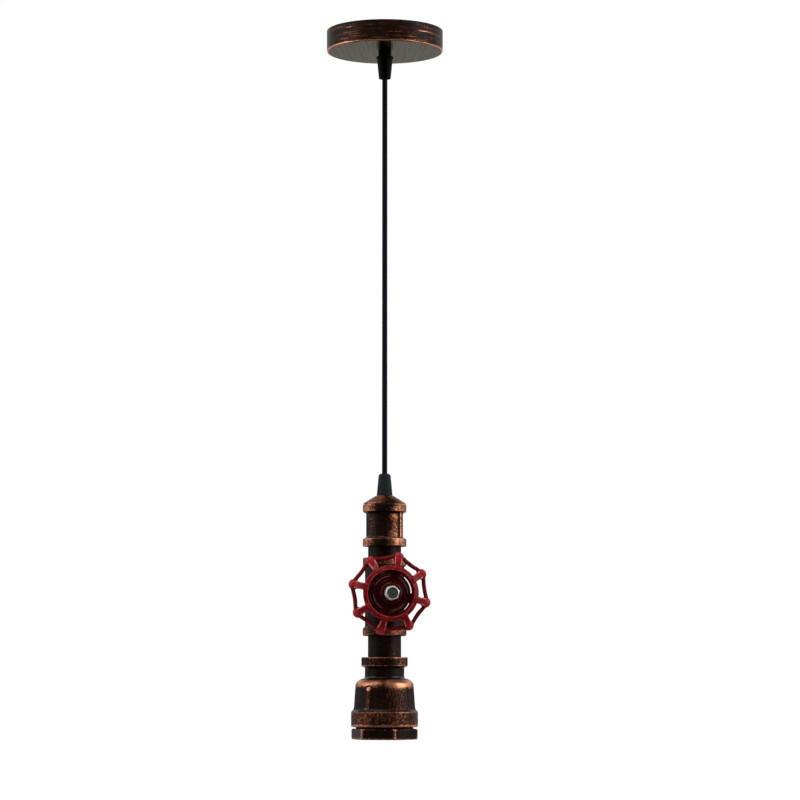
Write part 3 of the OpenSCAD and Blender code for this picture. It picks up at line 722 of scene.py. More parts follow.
@dataclass(frozen=True)
class BrushedSteel:
    """Tinted steel sheet with fanned brush lines: dark from below, grey where it mirrors the floor."""

    name: str = "brushed tinted steel"
    ground: str = "#100D0A"
    line: str = "#332B22"
    dull: str = "#C2C0B8"
    bright: str = "#F8F4E9"
    line_mm: float = 2.0
    run_mm: float = 160.0
    fan_turn: float = math.radians(7.2)
    fan_from: float = 333 * MM
    line_edge: tuple[float, float] = (0.38, 0.62)
    rough: tuple[float, float] = (0.25, 0.37)
    scratch_depth: float = 0.2 * MM
    scratch_strength: float = 0.3

    @functools.cache
    def material(self) -> Material:
        """Draws lines that change colour, shine and relief together.

        The lines meet at a point behind the rose: a line keeps x / (1 - y / d), with y along the brush.

        Returns:
            The finished material.
        """
        material, shader, add = blank_material(self.name)
        place = add("TexCoord", out="Object")
        along = add("Mapping", {"Vector": place, "Rotation": (0, 0, self.fan_turn)})
        part = add("SeparateXYZ", {0: along}).node.outputs
        near = add("Math", {0: part["Y"], 1: -1 / self.fan_from, 2: 1.0}, operation="MULTIPLY_ADD")
        across = add("Math", {0: part["X"], 1: near}, operation="DIVIDE")
        fan = add("CombineXYZ", {"X": across, "Y": part["Y"]})
        spread = (per_mm(self.line_mm), per_mm(self.run_mm), 1.0)
        brushed = add("Mapping", {"Vector": fan, "Scale": spread})
        lines = add("TexNoise", {"Vector": brushed, "Scale": 1.0, "Detail": 2.0, "Roughness": 0.5}, "Fac")
        low, high = self.line_edge
        share = add("MapRange", {"Value": lines, "From Min": low, "From Max": high})
        colour, tint = (
            add("Mix", {0: share, 6: linear(dark), 7: linear(light)}, 2, data_type="RGBA")
            for dark, light in ((self.ground, self.line), (self.dull, self.bright))
        )
        fine, coarse = self.rough
        scratch = {"Height": lines, "Strength": self.scratch_strength, "Distance": self.scratch_depth}
        feed(shader, {
            "Base Color": colour,
            "Specular Tint": tint,
            "Roughness": add("MapRange", {"Value": share, "To Min": fine, "To Max": coarse}),
            "Normal": add("Bump", scratch),
            "Metallic": 1.0,
        })
        return material


@dataclass(frozen=True)
class RedEnamel:
    """Stoved red enamel on a casting: gloss over a red with painted shade in corners and painted highlights
    on ridges.
    """

    name: str = "red enamel"
    # Colour by the painted share of light, from painted shade down in the bowl through the enamel's own red
    # to a painted pink highlight on a ridge
    depths: tuple[tuple[float, str], ...] = (
        (0.12, "#220103"),
        (0.36, "#42060A"),
        (0.6, "#720E12"),
        (0.84, "#96282C"),
        (1.0, "#CC7074"),
    )
    ripple_mm: float = 3.0
    ripple_share: float = 0.35
    ripple_depth: float = 0.3 * MM
    ripple_strength: float = 0.1
    speck_mm: float = 0.8
    rough: tuple[float, float] = (0.36, 0.46)
    gloss: float = 0.06
    coat: float = 0.08
    coat_rough: float = 0.16

    @functools.cache
    def material(self) -> Material:
        """Shifts the red by the painted light and shade, and ripples the gloss.

        Returns:
            The finished material.
        """
        material, shader, add = blank_material(self.name)
        place = add("TexCoord", out="Object")
        ridge = add("Attribute", out="Fac", attribute_name="rub")
        ripple = add("TexNoise", {"Vector": place, "Scale": per_mm(self.ripple_mm), "Detail": 1.0}, "Fac")
        speck = add("TexNoise", {"Vector": place, "Scale": per_mm(self.speck_mm), "Detail": 2.0}, "Fac")
        height = add("Math", {0: ripple, 1: self.ripple_share, 2: ridge}, operation="MULTIPLY_ADD")
        colour = add("ValToRGB", {"Fac": height})
        ramp = colour.node.color_ramp.elements
        ramp[0].position, ramp[1].position = self.depths[0][0], self.depths[-1][0]
        for position, _ in self.depths[1:-1]:
            ramp.new(position)
        for stop, (_, code) in zip(ramp, self.depths):
            stop.color = linear(code)
        fine, coarse = self.rough
        skin = {"Height": ripple, "Strength": self.ripple_strength, "Distance": self.ripple_depth}
        feed(shader, {
            "Base Color": colour,
            "Roughness": add("MapRange", {"Value": speck, "To Min": fine, "To Max": coarse}),
            "Normal": add("Bump", skin),
            "Specular IOR Level": self.gloss,
            "Coat Weight": self.coat,
            "Coat Roughness": self.coat_rough,
        })
        return material


@dataclass(frozen=True)
class GrainedSolid:
    """Plain material with a fine grain in colour, gloss and surface, such as nylon, zinc plate or brass."""

    name: str
    dark: str
    light: str
    metallic: float
    rough: tuple[float, float]
    grain_mm: tuple[float, float, float] = (0.5, 0.5, 0.5)
    grain_edge: tuple[float, float] = (0.3, 0.7)
    depth_mm: float = 0.03
    bump_strength: float = 0.3
    gloss: float = 0.5
    # Dark and light of the half left of the middle, where a pair of pieces has two colours
    left: tuple[str, str] | None = None

    @functools.cache
    def material(self) -> Material:
        """Mixes the two colours by one noise that also moves roughness and bump.

        Returns:
            The finished material.
        """
        material, shader, add = blank_material(self.name)
        place = add("TexCoord", out="Object")
        spread = tuple(per_mm(length) for length in self.grain_mm)
        drawn = add("Mapping", {"Vector": place, "Scale": spread})
        grain = add("TexNoise", {"Vector": drawn, "Scale": 1.0, "Detail": 4.0}, "Fac")
        low, high = self.grain_edge
        share = add("MapRange", {"Value": grain, "From Min": low, "From Max": high})
        shades = {0: share, 6: linear(self.dark), 7: linear(self.light)}
        colour = add("Mix", shades, 2, data_type="RGBA")
        if self.left:
            dark, light = (linear(code) for code in self.left)
            left = add("Mix", {0: share, 6: dark, 7: light}, 2, data_type="RGBA")
            side = add("SeparateXYZ", {0: place}, "X")
            on_left = add("Math", {0: side, 1: 0.0}, operation="LESS_THAN")
            colour = add("Mix", {0: on_left, 6: colour, 7: left}, 2, data_type="RGBA")
        fine, coarse = self.rough
        bump = {"Height": grain, "Strength": self.bump_strength, "Distance": self.depth_mm * MM}
        feed(shader, {
            "Base Color": colour,
            "Roughness": add("MapRange", {"Value": share, "To Min": fine, "To Max": coarse}),
            "Normal": add("Bump", bump),
            "Metallic": self.metallic,
            "Specular IOR Level": self.gloss,
        })
        return material


Finish = RubbedCopper | BrushedSteel | RedEnamel | GrainedSolid

# Malleable iron in black lacquer, dabbed with copper on a cloth
DABBED_IRON = RubbedCopper("dabbed copper on iron", Stroke.DABBED)
# The same iron, with the copper drawn on in upright strokes
BRUSHED_IRON = RubbedCopper("brushed copper on iron", Stroke.UPRIGHT)
# Steel sheet, with the copper drawn round it in level strokes
BRUSHED_ROSE = RubbedCopper(
    "brushed copper on steel sheet",
    Stroke.LEVEL,
    grain_mm=1.2,
    mark_detail=4.0,
    mark_share=2.4,
    grain_share=0.8,
    catch=(1.74, 2.34),
)
# Tinted steel sheet: a dark brushed mirror seen from below
BRUSHED_FLOOR = BrushedSteel()
# Stoved enamel: wet red gloss
ENAMEL = RedEnamel()
# Moulded nylon: a satin black that lifts to grey at its edges, a duller charcoal, white and dark green
BLACK_NYLON = GrainedSolid("black nylon", "#010101", "#030303", 0.0, (0.42, 0.55), gloss=0.03)
CHARCOAL_NYLON = GrainedSolid("charcoal nylon", "#11171A", "#1A2022", 0.0, (0.5, 0.65), gloss=0.08)
WHITE_NYLON = GrainedSolid("white nylon", "#D8D4CA", "#E8E5DC", 0.0, (0.4, 0.52), (0.6, 0.6, 0.6))
GREEN_NYLON = GrainedSolid("dark green nylon", "#1C2A26", "#34443E", 0.0, (0.35, 0.5))
# Bright zinc plate: a pale, slightly cloudy mirror
ZINC_PLATE = GrainedSolid("zinc plate", "#A9A6A0", "#D2CEC6", 1.0, (0.22, 0.4), (0.8, 0.8, 0.8))
# Tumbled zinc plate: paler and duller, so it stays light from every side
TUMBLED_ZINC = GrainedSolid("tumbled zinc plate", "#B4AFA8", "#D9D4CC", 0.45, (0.34, 0.5), (0.8, 0.8, 0.8))
# Drawn brass with fine lines along the draw
DRAWN_BRASS = GrainedSolid("drawn brass", "#A67E33", "#D0A850", 1.0, (0.24, 0.38), (0.4, 0.4, 3.0))
# Extruded PVC sheath: soft black shine with lines along the flex
PVC_SHEATH = GrainedSolid(
    "black PVC sheath", "#07060C", "#13111E", 0.0, (0.45, 0.58), (0.4, 0.4, 30.0), gloss=0.03
)
# Core insulation: brown on the live core to the right, blue on the neutral core to the left
CORE_PVC = GrainedSolid(
    "core PVC insulation", "#4A2413", "#5E3220", 0.0, (0.34, 0.45), left=("#17386E", "#254C8A")
)
# Braided graphite yarn, dull and sooty
GRAPHITE_YARN = GrainedSolid(
    "graphite yarn", "#0E0E0F", "#2A2A2C", 0.2, (0.55, 0.75), (0.4, 0.4, 0.4), depth_mm=0.1
)
# Glazed porcelain: warm white under a clear glaze
PORCELAIN = GrainedSolid("glazed porcelain", "#DEDACF", "#ECE9E0", 0.0, (0.1, 0.18), (2.5, 2.5, 2.5))


def fit(piece: Piece, body: str, slot: str, node: str, *finishes: Finish) -> Piece:
    """Finishes a piece and sets it on its body in place of a CAD node.

    Args:
        piece: piece at its place.
        body: CAD body that it moves with.
        slot: material slot of the record, which is not used.
        node: CAD node that it stands for.
        finishes: finishes whose materials it takes, the first one for all faces that name no other.

    Returns:
        The same piece.
    """
    for finish in finishes:
        piece.data.materials.append(finish.material())
    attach(piece, body)
    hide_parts(node)
    return piece


# The light, from the ceiling down


class SubAssembly(Protocol):
    """Group of the light's pieces that are made together."""

    def build(self) -> list[Piece]:
        """Makes the pieces and sets them on their bodies."""


@dataclass
class CeilingRose:
    """Pressed steel cup that covers the strap and the terminal block."""

    wall: float = 1.2 * MM
    edge: float = 1.8 * MM
    hole_r: float = 5.1 * MM
    screw_drop: float = 9.0 * MM
    screw_hole_r: float = 2.1 * MM
    segments: int = 300
    lip_at: float = 0.6 * MM
    lip_w: float = 0.8 * MM
    side_rub: float = 0.03
    # More copper on the flanks where the lamps reflect, partly brushed copper and partly painted sheen
    streaks: tuple[Patch, ...] = (Patch(0.08, 30, 26), Patch(0.04, -50, 26))

    def build(self) -> list[Piece]:
        """Turns the cup, drills its side holes and dresses it.

        Returns:
            The cup.
        """
        place = Extent.of("ceiling_rose")
        rim_r, top, end = place.radius, place.top, place.end
        inside, floor = rim_r - self.wall, end + self.wall
        cup = lathe([
            (rim_r, top, 0.4 * MM),
            (rim_r, end, self.edge),
            (self.hole_r, end, 0.3 * MM),
            (self.hole_r, floor, 0.3 * MM),
            (inside, floor, 1.0 * MM),
            (inside, top, 0.4 * MM),
        ], self.segments)
        piece = drilled(piece_of("rose_cup", cup), self.side_hole(rim_r), self.side_hole(-rim_r))
        self.dress(piece, place)
        return [piece]

    def side_hole(self, reach: float) -> Skin:
        """Cutter of a side screw's hole through the wall, on the left where the reach is negative."""
        ends = np.array([[0.8, 0, 0], [1.2, 0, 0]]) * reach - [0, 0, self.screw_drop]
        return sweep(ends, oval(32, 2) * self.screw_hole_r, (0, 1, 0))

    def dress(self, piece: Piece, place: Extent) -> None:
        """Paints the copper, with a painted sheen on the flanks, and splits the faces between the side, the
        floor and the inside.

        Args:
            piece: the cup.
            place: where the cup is.
        """
        points = vertices(piece)
        radius = from_axis(points)
        side = radius > place.radius - 0.3 * MM
        rounded = radius > place.radius - 2.0 * MM
        lip = bell(points[:, 2] - place.end, self.lip_at, self.lip_w) * rounded
        # Painted sheen on the flanks, on top of the brushed copper
        streaks = sum(patch.on(piece) for patch in self.streaks)
        paint(piece, "rub", np.where(side, self.side_rub + streaks, 0.0) + lip)
        fit(piece, "ceiling", "rustic_rose", "ceiling_rose", BRUSHED_ROSE, BRUSHED_FLOOR, DABBED_IRON)
        middle = centres(piece)
        reach, height = from_axis(middle), middle[:, 2]
        floor = (reach < place.radius - 1.7 * MM) & (height < place.end + 0.4 * MM)
        inside = (reach < place.radius - self.wall / 2) & (height > place.end + self.wall / 2)
        split_finishes(piece, np.where(inside, 2, floor))


@dataclass
class PendantFlex:
    """Free round flex between the two grips."""

    diameter: float = 5.4 * MM
    start_z: float = -49.7 * MM
    end_z: float = -469.0 * MM
    exit_z: float = -49.8 * MM
    stations_mm: tuple[int, ...] = (
        0, 10, 20, 40, 60, 80, 100, 120, 140, 160, 180, 200,
        220, 240, 260, 280, 300, 320, 340, 360, 380, 400,
    )

    def build(self) -> list[Piece]:
        """Returns:
            The flex.
        """
        drop = np.append(np.array(self.stations_mm) * MM, self.start_z - self.end_z)
        path = np.stack([0 * drop, 0 * drop, self.start_z - drop], -1)
        piece = piece_of("hanging_flex", sweep(path, oval(32, 2) * self.diameter / 2, (1, 0, 0)))
        fit(piece, "cord", "black_flex", "pendant_cord", PVC_SHEATH)
        return [piece]


@dataclass
class CordGrips:
    """Moulded caps that clamp the flex under the rose and over the pipe."""

    collar_h: float = 2.0 * MM
    collar_in: float = 0.7 * MM
    collar_slope: float = 0.5 * MM
    tip_r: float = 6.1 * MM
    tip_dome_in: float = 1.9 * MM
    tip_dome_h: float = 1.4 * MM
    thread_space_r: float = 5.5 * MM
    thread_space_h: float = 8.2 * MM
    cone_end_r: float = 4.0 * MM
    cone_end: float = 16.4 * MM
    mouth_r: float = 4.95 * MM
    throat_r: float = 3.36 * MM
    throat_h: float = 3.0 * MM
    lower_bore_r: float = 3.02 * MM
    lower_base_h: float = 1.4 * MM
    segments: int = 96

    def build(self) -> list[Piece]:
        """Turns both caps."""
        return [self.upper(), self.lower()]

    def upper(self) -> Piece:
        """Cap under the rose, with a collar and a flared mouth in which the flex bends.

        Returns:
            The cap.
        """
        place = Extent.of("upper_grip_cap")
        wide, top, end = place.radius, place.top, place.end
        collar_z = top - self.collar_h
        shell = lathe([
            (self.thread_space_r, top, 0.2 * MM),
            (wide, top, 0.6 * MM),
            (wide, collar_z, 0.6 * MM),
            (wide - self.collar_in, collar_z - self.collar_slope, 0.4 * MM),
            (self.tip_r, end, 0.9 * MM),
            (self.mouth_r, end, 0.4 * MM),
            (self.throat_r, end + self.throat_h, 0.6 * MM),
            (self.throat_r, top - self.cone_end, 0.2 * MM),
            (self.cone_end_r, top - self.cone_end, 0.2 * MM),
            (self.thread_space_r, top - self.thread_space_h, 0.2 * MM),
        ], self.segments)
        piece = piece_of("rose_grip_cap", shell)
        return fit(piece, "ceiling", "black_nylon", "upper_grip_cap", BLACK_NYLON)

    def lower(self) -> Piece:
        """Cap over the pipe, a plain cone with a domed tip.

        Returns:
            The cap.
        """
        place = Extent.of("lower_grip_cap")
        wide, top, end = place.radius, place.top, place.end
        shell = lathe([
            (self.thread_space_r, end, 0.2 * MM),
            (wide, end, 0.3 * MM),
            (wide, end + self.lower_base_h, 0.5 * MM),
            (self.tip_r, top - self.tip_dome_h, 0.8 * MM),
            (self.tip_r - self.tip_dome_in, top, 0.9 * MM),
            (self.lower_bore_r, top, 0.2 * MM),
            (self.lower_bore_r, end + self.cone_end, 0.2 * MM),
            (self.cone_end_r, end + self.cone_end, 0.2 * MM),
            (self.thread_space_r, end + self.thread_space_h, 0.2 * MM),
        ], self.segments)
        piece = piece_of("pipe_grip_cap", shell)
        return fit(piece, "pipe", "black_nylon", "lower_grip_cap", CHARCOAL_NYLON)


@dataclass
class PipeFittings:
    """Plug, coupling, nipples and tee that hang under the lower grip."""

    socket_r: float = 16.6 * MM
    male_r: float = 16.5 * MM
    grip_hole_r: float = 5.1 * MM
    cone_top_r: float = 8.7 * MM
    cone_foot_h: float = 0.9 * MM
    plug_thread: float = 12.0 * MM
    band_h: float = 8.2 * MM
    band_cove: float = 1.0 * MM
    body_r: float = 18.8 * MM
    rib_w: float = 4.6 * MM
    rib_h: float = 1.6 * MM
    rib_turn: float = math.radians(51 - 90)
    pipe_bore_r: float = 13.6 * MM
    thread_depth: float = 14.0 * MM
    tee_body_r: float = 20.0 * MM
    tee_voxel: float = 0.55 * MM
    branch_body_r: float = 17.5 * MM
    branch_band_r: float = 22.0 * MM
    branch_lip_r: float = 18.9 * MM
    branch_recess: float = 0.8 * MM
    branch_bore_r: float = 13.3 * MM
    # By side: the cone's shade and the bands' patches on the front are a painted dark reflection, and the
    # body, pipe and tee-band patches on the flanks are partly rubbed copper and partly a painted highlight
    # where the lamps reflect
    cone_shade: Patch = Patch(-0.42, 4, 26)
    body_rub: tuple[Patch, ...] = (Patch(0.55, 22, 25), Patch(0.1, -60, 20))
    upper_band_wiped: tuple[Patch, ...] = (Patch(0.56, -8, 24), Patch(0.24, -48, 26))
    lower_band_wiped: Patch = Patch(0.68, -8, 24)
    pipe_rub: Patch = Patch(0.12, 32, 14)
    tee_band_rub: Patch = Patch(0.2, 30, 30)

    def build(self) -> list[Piece]:
        """Makes the fittings from the top down.

        Returns:
            All the fittings.
        """
        return [
            self.plug(),
            self.coupling(),
            self.nipple("upper_nipple", "upper_pipe", 5),
            self.tee(),
            self.nipple("lower_nipple", "lower_pipe", 7),
        ]

    def plug(self) -> Piece:
        """Conical plug with its thread below.

        Returns:
            The plug.
        """
        place = Extent.of("top_plug")
        seat = Extent.of("top_coupling").top
        foot = seat - self.plug_thread
        piece = piece_of("cone_plug", lathe([
            (self.grip_hole_r, place.top, 0.2 * MM),
            (self.cone_top_r, place.top, 0.8 * MM),
            (place.radius, seat + self.cone_foot_h, 0.8 * MM),
            (place.radius, seat, 0.2 * MM),
            (self.male_r, seat, 0.2 * MM),
            (self.male_r, foot, 0.5 * MM),
            (self.grip_hole_r, foot, 0.2 * MM),
        ]))
        Rub(0.3, seed=1).on(piece, 0.58 + self.cone_shade.on(piece))
        return fit(piece, "pipe", "rustic_iron", "top_plug", DABBED_IRON)

    def banded(self, place: Extent, body_r: float, bore_r: float) -> list[Corner]:
        """Corners of a fitting with a band at each end, from the top down.

        Args:
            place: where the fitting is.
            body_r: radius between the bands.
            bore_r: radius of the bore.

        Returns:
            Radius, height and round of each corner.
        """
        band_r = Extent.of("top_coupling").radius
        upper, lower = place.top - self.band_h, place.end + self.band_h
        return [
            (bore_r, place.top, 0.3 * MM),
            (band_r, place.top, 1.3 * MM),
            (band_r, upper, 1.2 * MM),
            (body_r, upper - self.band_cove, 2.0 * MM),
            (body_r, lower + self.band_cove, 2.0 * MM),
            (band_r, lower, 1.2 * MM),
            (band_r, place.end, 1.3 * MM),
            (bore_r, place.end, 0.3 * MM),
        ]

    def coupling(self) -> Piece:
        """Banded socket with two cast ribs.

        Returns:
            The coupling.
        """
        place = Extent.of("top_coupling")
        body_r, crest_r = self.body_r, self.body_r + self.rib_h

        def ribbed(angle: Array, radius: Array, height: Array) -> Array:
            """Lifts the body to the rib's height within the rib's width.

            Args:
                angle: angle round the axis.
                radius: radius of the turned piece.
                height: height along the axis, which doesn't matter here.

            Returns:
                The radius of each point.
            """
            off = np.abs((angle - self.rib_turn + TURN / 4) % (TURN / 2) - TURN / 4) * body_r
            share = 1 - ease(off, self.rib_w / 2 - 0.5 * MM, self.rib_w / 2 + 0.4 * MM)
            low = (radius > self.socket_r + 1 * MM) & (radius < crest_r)
            return np.where(low, radius + share * (crest_r - radius), radius)

        piece = piece_of("banded_coupling", lathe(self.banded(place, body_r, self.socket_r), 216, ribbed))
        points = vertices(piece)
        out = from_axis(points)
        band = ease(out, body_r + 1.8 * MM, body_r + 3 * MM)
        rib = ease(out, body_r + 0.6 * MM, body_r + 1.4 * MM) * (1 - band)
        # Copper on the body's flanks, partly rubbed and partly a painted highlight where the lamps reflect
        body = sum(patch.on(piece) for patch in self.body_rub) + 0.22 * rib
        # Painted dark reflection: copper taken off the bands' fronts
        upper_wiped = sum(patch.on(piece) for patch in self.upper_band_wiped)
        upper = points[:, 2] > place.end + self.band_h
        wiped = np.where(upper, upper_wiped, self.lower_band_wiped.on(piece))
        Rub(0.3, seed=2).on(piece, 0.04 + body * (1 - band) + band * (0.64 - wiped))
        return fit(piece, "pipe", "rustic_iron", "top_coupling", DABBED_IRON)

    def nipple(self, node: str, name: str, seed: int) -> Piece:
        """Plain pipe with a thread at both ends.

        Args:
            node: CAD node that it stands for.
            name: name of the piece.
            seed: choice of its patches.

        Returns:
            The pipe.
        """
        place = Extent.of(node)
        top, end = place.top - self.thread_depth, place.end + self.thread_depth
        piece = piece_of(name, lathe([
            (self.pipe_bore_r, place.top, 0.3 * MM),
            (self.male_r, place.top, 0.6 * MM),
            (self.male_r, top, 0.1 * MM),
            (place.radius, top, 0.2 * MM),
            (place.radius, end, 0.2 * MM),
            (self.male_r, end, 0.1 * MM),
            (self.male_r, place.end, 0.6 * MM),
            (self.pipe_bore_r, place.end, 0.3 * MM),
        ]))
        # Copper patch on the right flank, partly rubbed and partly a painted highlight
        Rub(0.1, seed, uneven=0.08).on(piece, self.pipe_rub.on(piece))
        return fit(piece, "pipe", "rustic_iron", node, DABBED_IRON)

    def tee(self) -> Piece:
        """Cast tee: a banded run and a banded branch that flow into each other.

        Returns:
            The tee.
        """
        place = Extent.of("valve_tee")
        core_r, root, beyond = 6 * MM, 4 * MM, 5 * MM
        reach = place.front
        recess = reach - self.branch_recess
        band_back = reach - self.band_h
        run = lathe(self.banded(place, self.tee_body_r, core_r))
        branch = lathe([
            (core_r, root, 0.3 * MM),
            (self.branch_body_r, root, 0.3 * MM),
            (self.branch_body_r, band_back - 0.8 * MM, 1.6 * MM),
            (self.branch_band_r, band_back + 0.4 * MM, 1.2 * MM),
            (self.branch_band_r, reach, 1.2 * MM),
            (self.branch_lip_r, reach, 0.3 * MM),
            (self.branch_lip_r - 1.2 * MM, recess, 0.3 * MM),
            (core_r, recess, 0.3 * MM),
        ])
        piece = cast("cast_tee", self.tee_voxel, 6, run, along_branch(branch))
        drilled(
            piece,
            bore(self.socket_r, place.top - self.thread_depth - 1 * MM, place.top + beyond),
            bore(self.socket_r, place.end - beyond, place.end + self.thread_depth + 1 * MM),
            bore(self.pipe_bore_r, place.end, place.top),
            along_branch(bore(self.branch_bore_r, 0, reach + beyond)),
        )
        roughen(piece, 0.06 * MM, 7 * MM, seed=3)
        self.dress_tee(piece, reach)
        return fit(piece, "pipe", "rustic_iron", "valve_tee", DABBED_IRON)

    def dress_tee(self, piece: Piece, reach: float) -> None:
        """Paints the copper on the tee's bands and on the lip of its branch, with painted shade on the
        branch's band behind the wheel and a partly painted highlight on the lip.

        Args:
            piece: the tee.
            reach: distance out of the branch's end.
        """
        points = vertices(piece)
        from_branch = np.hypot(points[:, 0], points[:, 2] - BRANCH_Z)
        off_run = from_axis(points) - self.tee_body_r
        off_branch = from_branch - self.branch_body_r + 0.4 * MM
        band = ease(np.minimum(off_run, off_branch), 0.9 * MM, 2.4 * MM)
        # Painted shade: band copper fades out towards the front, so the branch's band in the wheel's shadow
        # has none
        band *= ease(points[:, 1], -self.tee_body_r - 6 * MM, -self.tee_body_r - 2 * MM)
        # Copper on the branch's lip, partly rubbed and partly a painted highlight for its lit arc seen
        # through the wheel
        lip = bell(from_branch, self.branch_lip_r, 0.6 * MM) * (points[:, 1] < 1.5 * MM - reach)
        # The band patch on the right flank is partly rubbed copper and partly a painted highlight
        Rub(0.24, seed=4).on(piece, 0.1 + band * (0.3 + self.tee_band_rub.on(piece)) + lip)


@dataclass
class ValveWorks:
    """Bonnet and gland nut in the branch, behind the wheel."""

    bonnet_af: float = 28.0 * MM
    bonnet_thread_r: float = 13.2 * MM
    bonnet_chamfer: float = 1.0 * MM
    gland_af: float = 17.0 * MM
    gland_thread_r: float = 6.4 * MM
    gland_chamfer: float = 0.8 * MM
    packing_h: float = 3.0 * MM
    spindle_r: float = 4.06 * MM

    def build(self) -> list[Piece]:
        """Turns both hexagons."""
        return [self.bonnet(), self.gland()]

    def bonnet(self) -> Piece:
        """Hexagon that screws into the branch.

        Returns:
            The bonnet.
        """
        place = Extent.of("valve_bonnet")
        front, back = place.front, place.back
        seat = Extent.of("valve_tee").front
        corner = self.bonnet_af / math.sqrt(3)
        well = front - 2 * self.packing_h
        shape = lathe([
            (self.spindle_r, back, 0.2 * MM),
            (self.bonnet_thread_r, back, 0.5 * MM),
            (self.bonnet_thread_r, seat, 0.1 * MM),
            (corner, seat, 0.2 * MM),
            (corner, front - self.bonnet_chamfer, 0.3 * MM),
            (self.bonnet_af / 2, front, 0.3 * MM),
            (self.gland_thread_r, front, 0.2 * MM),
            (self.gland_thread_r, well, 0.2 * MM),
            (self.spindle_r, well, 0.2 * MM),
        ], 144, hexagon(self.bonnet_af, 0.0, 0.2 * MM))
        piece = piece_of("bonnet_hexagon", along_branch(shape))
        Rub(0.35, seed=11).on(piece, np.full(len(piece.data.vertices), 0.3))
        return fit(piece, "pipe", "rustic_iron", "valve_bonnet", DABBED_IRON)

    def gland(self) -> Piece:
        """Brass nut that presses the packing.

        Returns:
            The gland nut.
        """
        place = Extent.of("gland_nut")
        front, back = place.front, place.back
        seat = back + self.packing_h
        corner = self.gland_af / math.sqrt(3)
        shape = lathe([
            (self.spindle_r, back, 0.2 * MM),
            (self.gland_thread_r, back, 0.4 * MM),
            (self.gland_thread_r, seat, 0.1 * MM),
            (corner, seat, 0.2 * MM),
            (corner, front - self.gland_chamfer, 0.2 * MM),
            (self.gland_af / 2, front, 0.2 * MM),
            (self.spindle_r, front, 0.3 * MM),
        ], 96, hexagon(self.gland_af, 0.0, 0.12 * MM))
        piece = piece_of("gland_hexagon", along_branch(shape))
        return fit(piece, "pipe", "bare_brass", "gland_nut", DRAWN_BRASS)


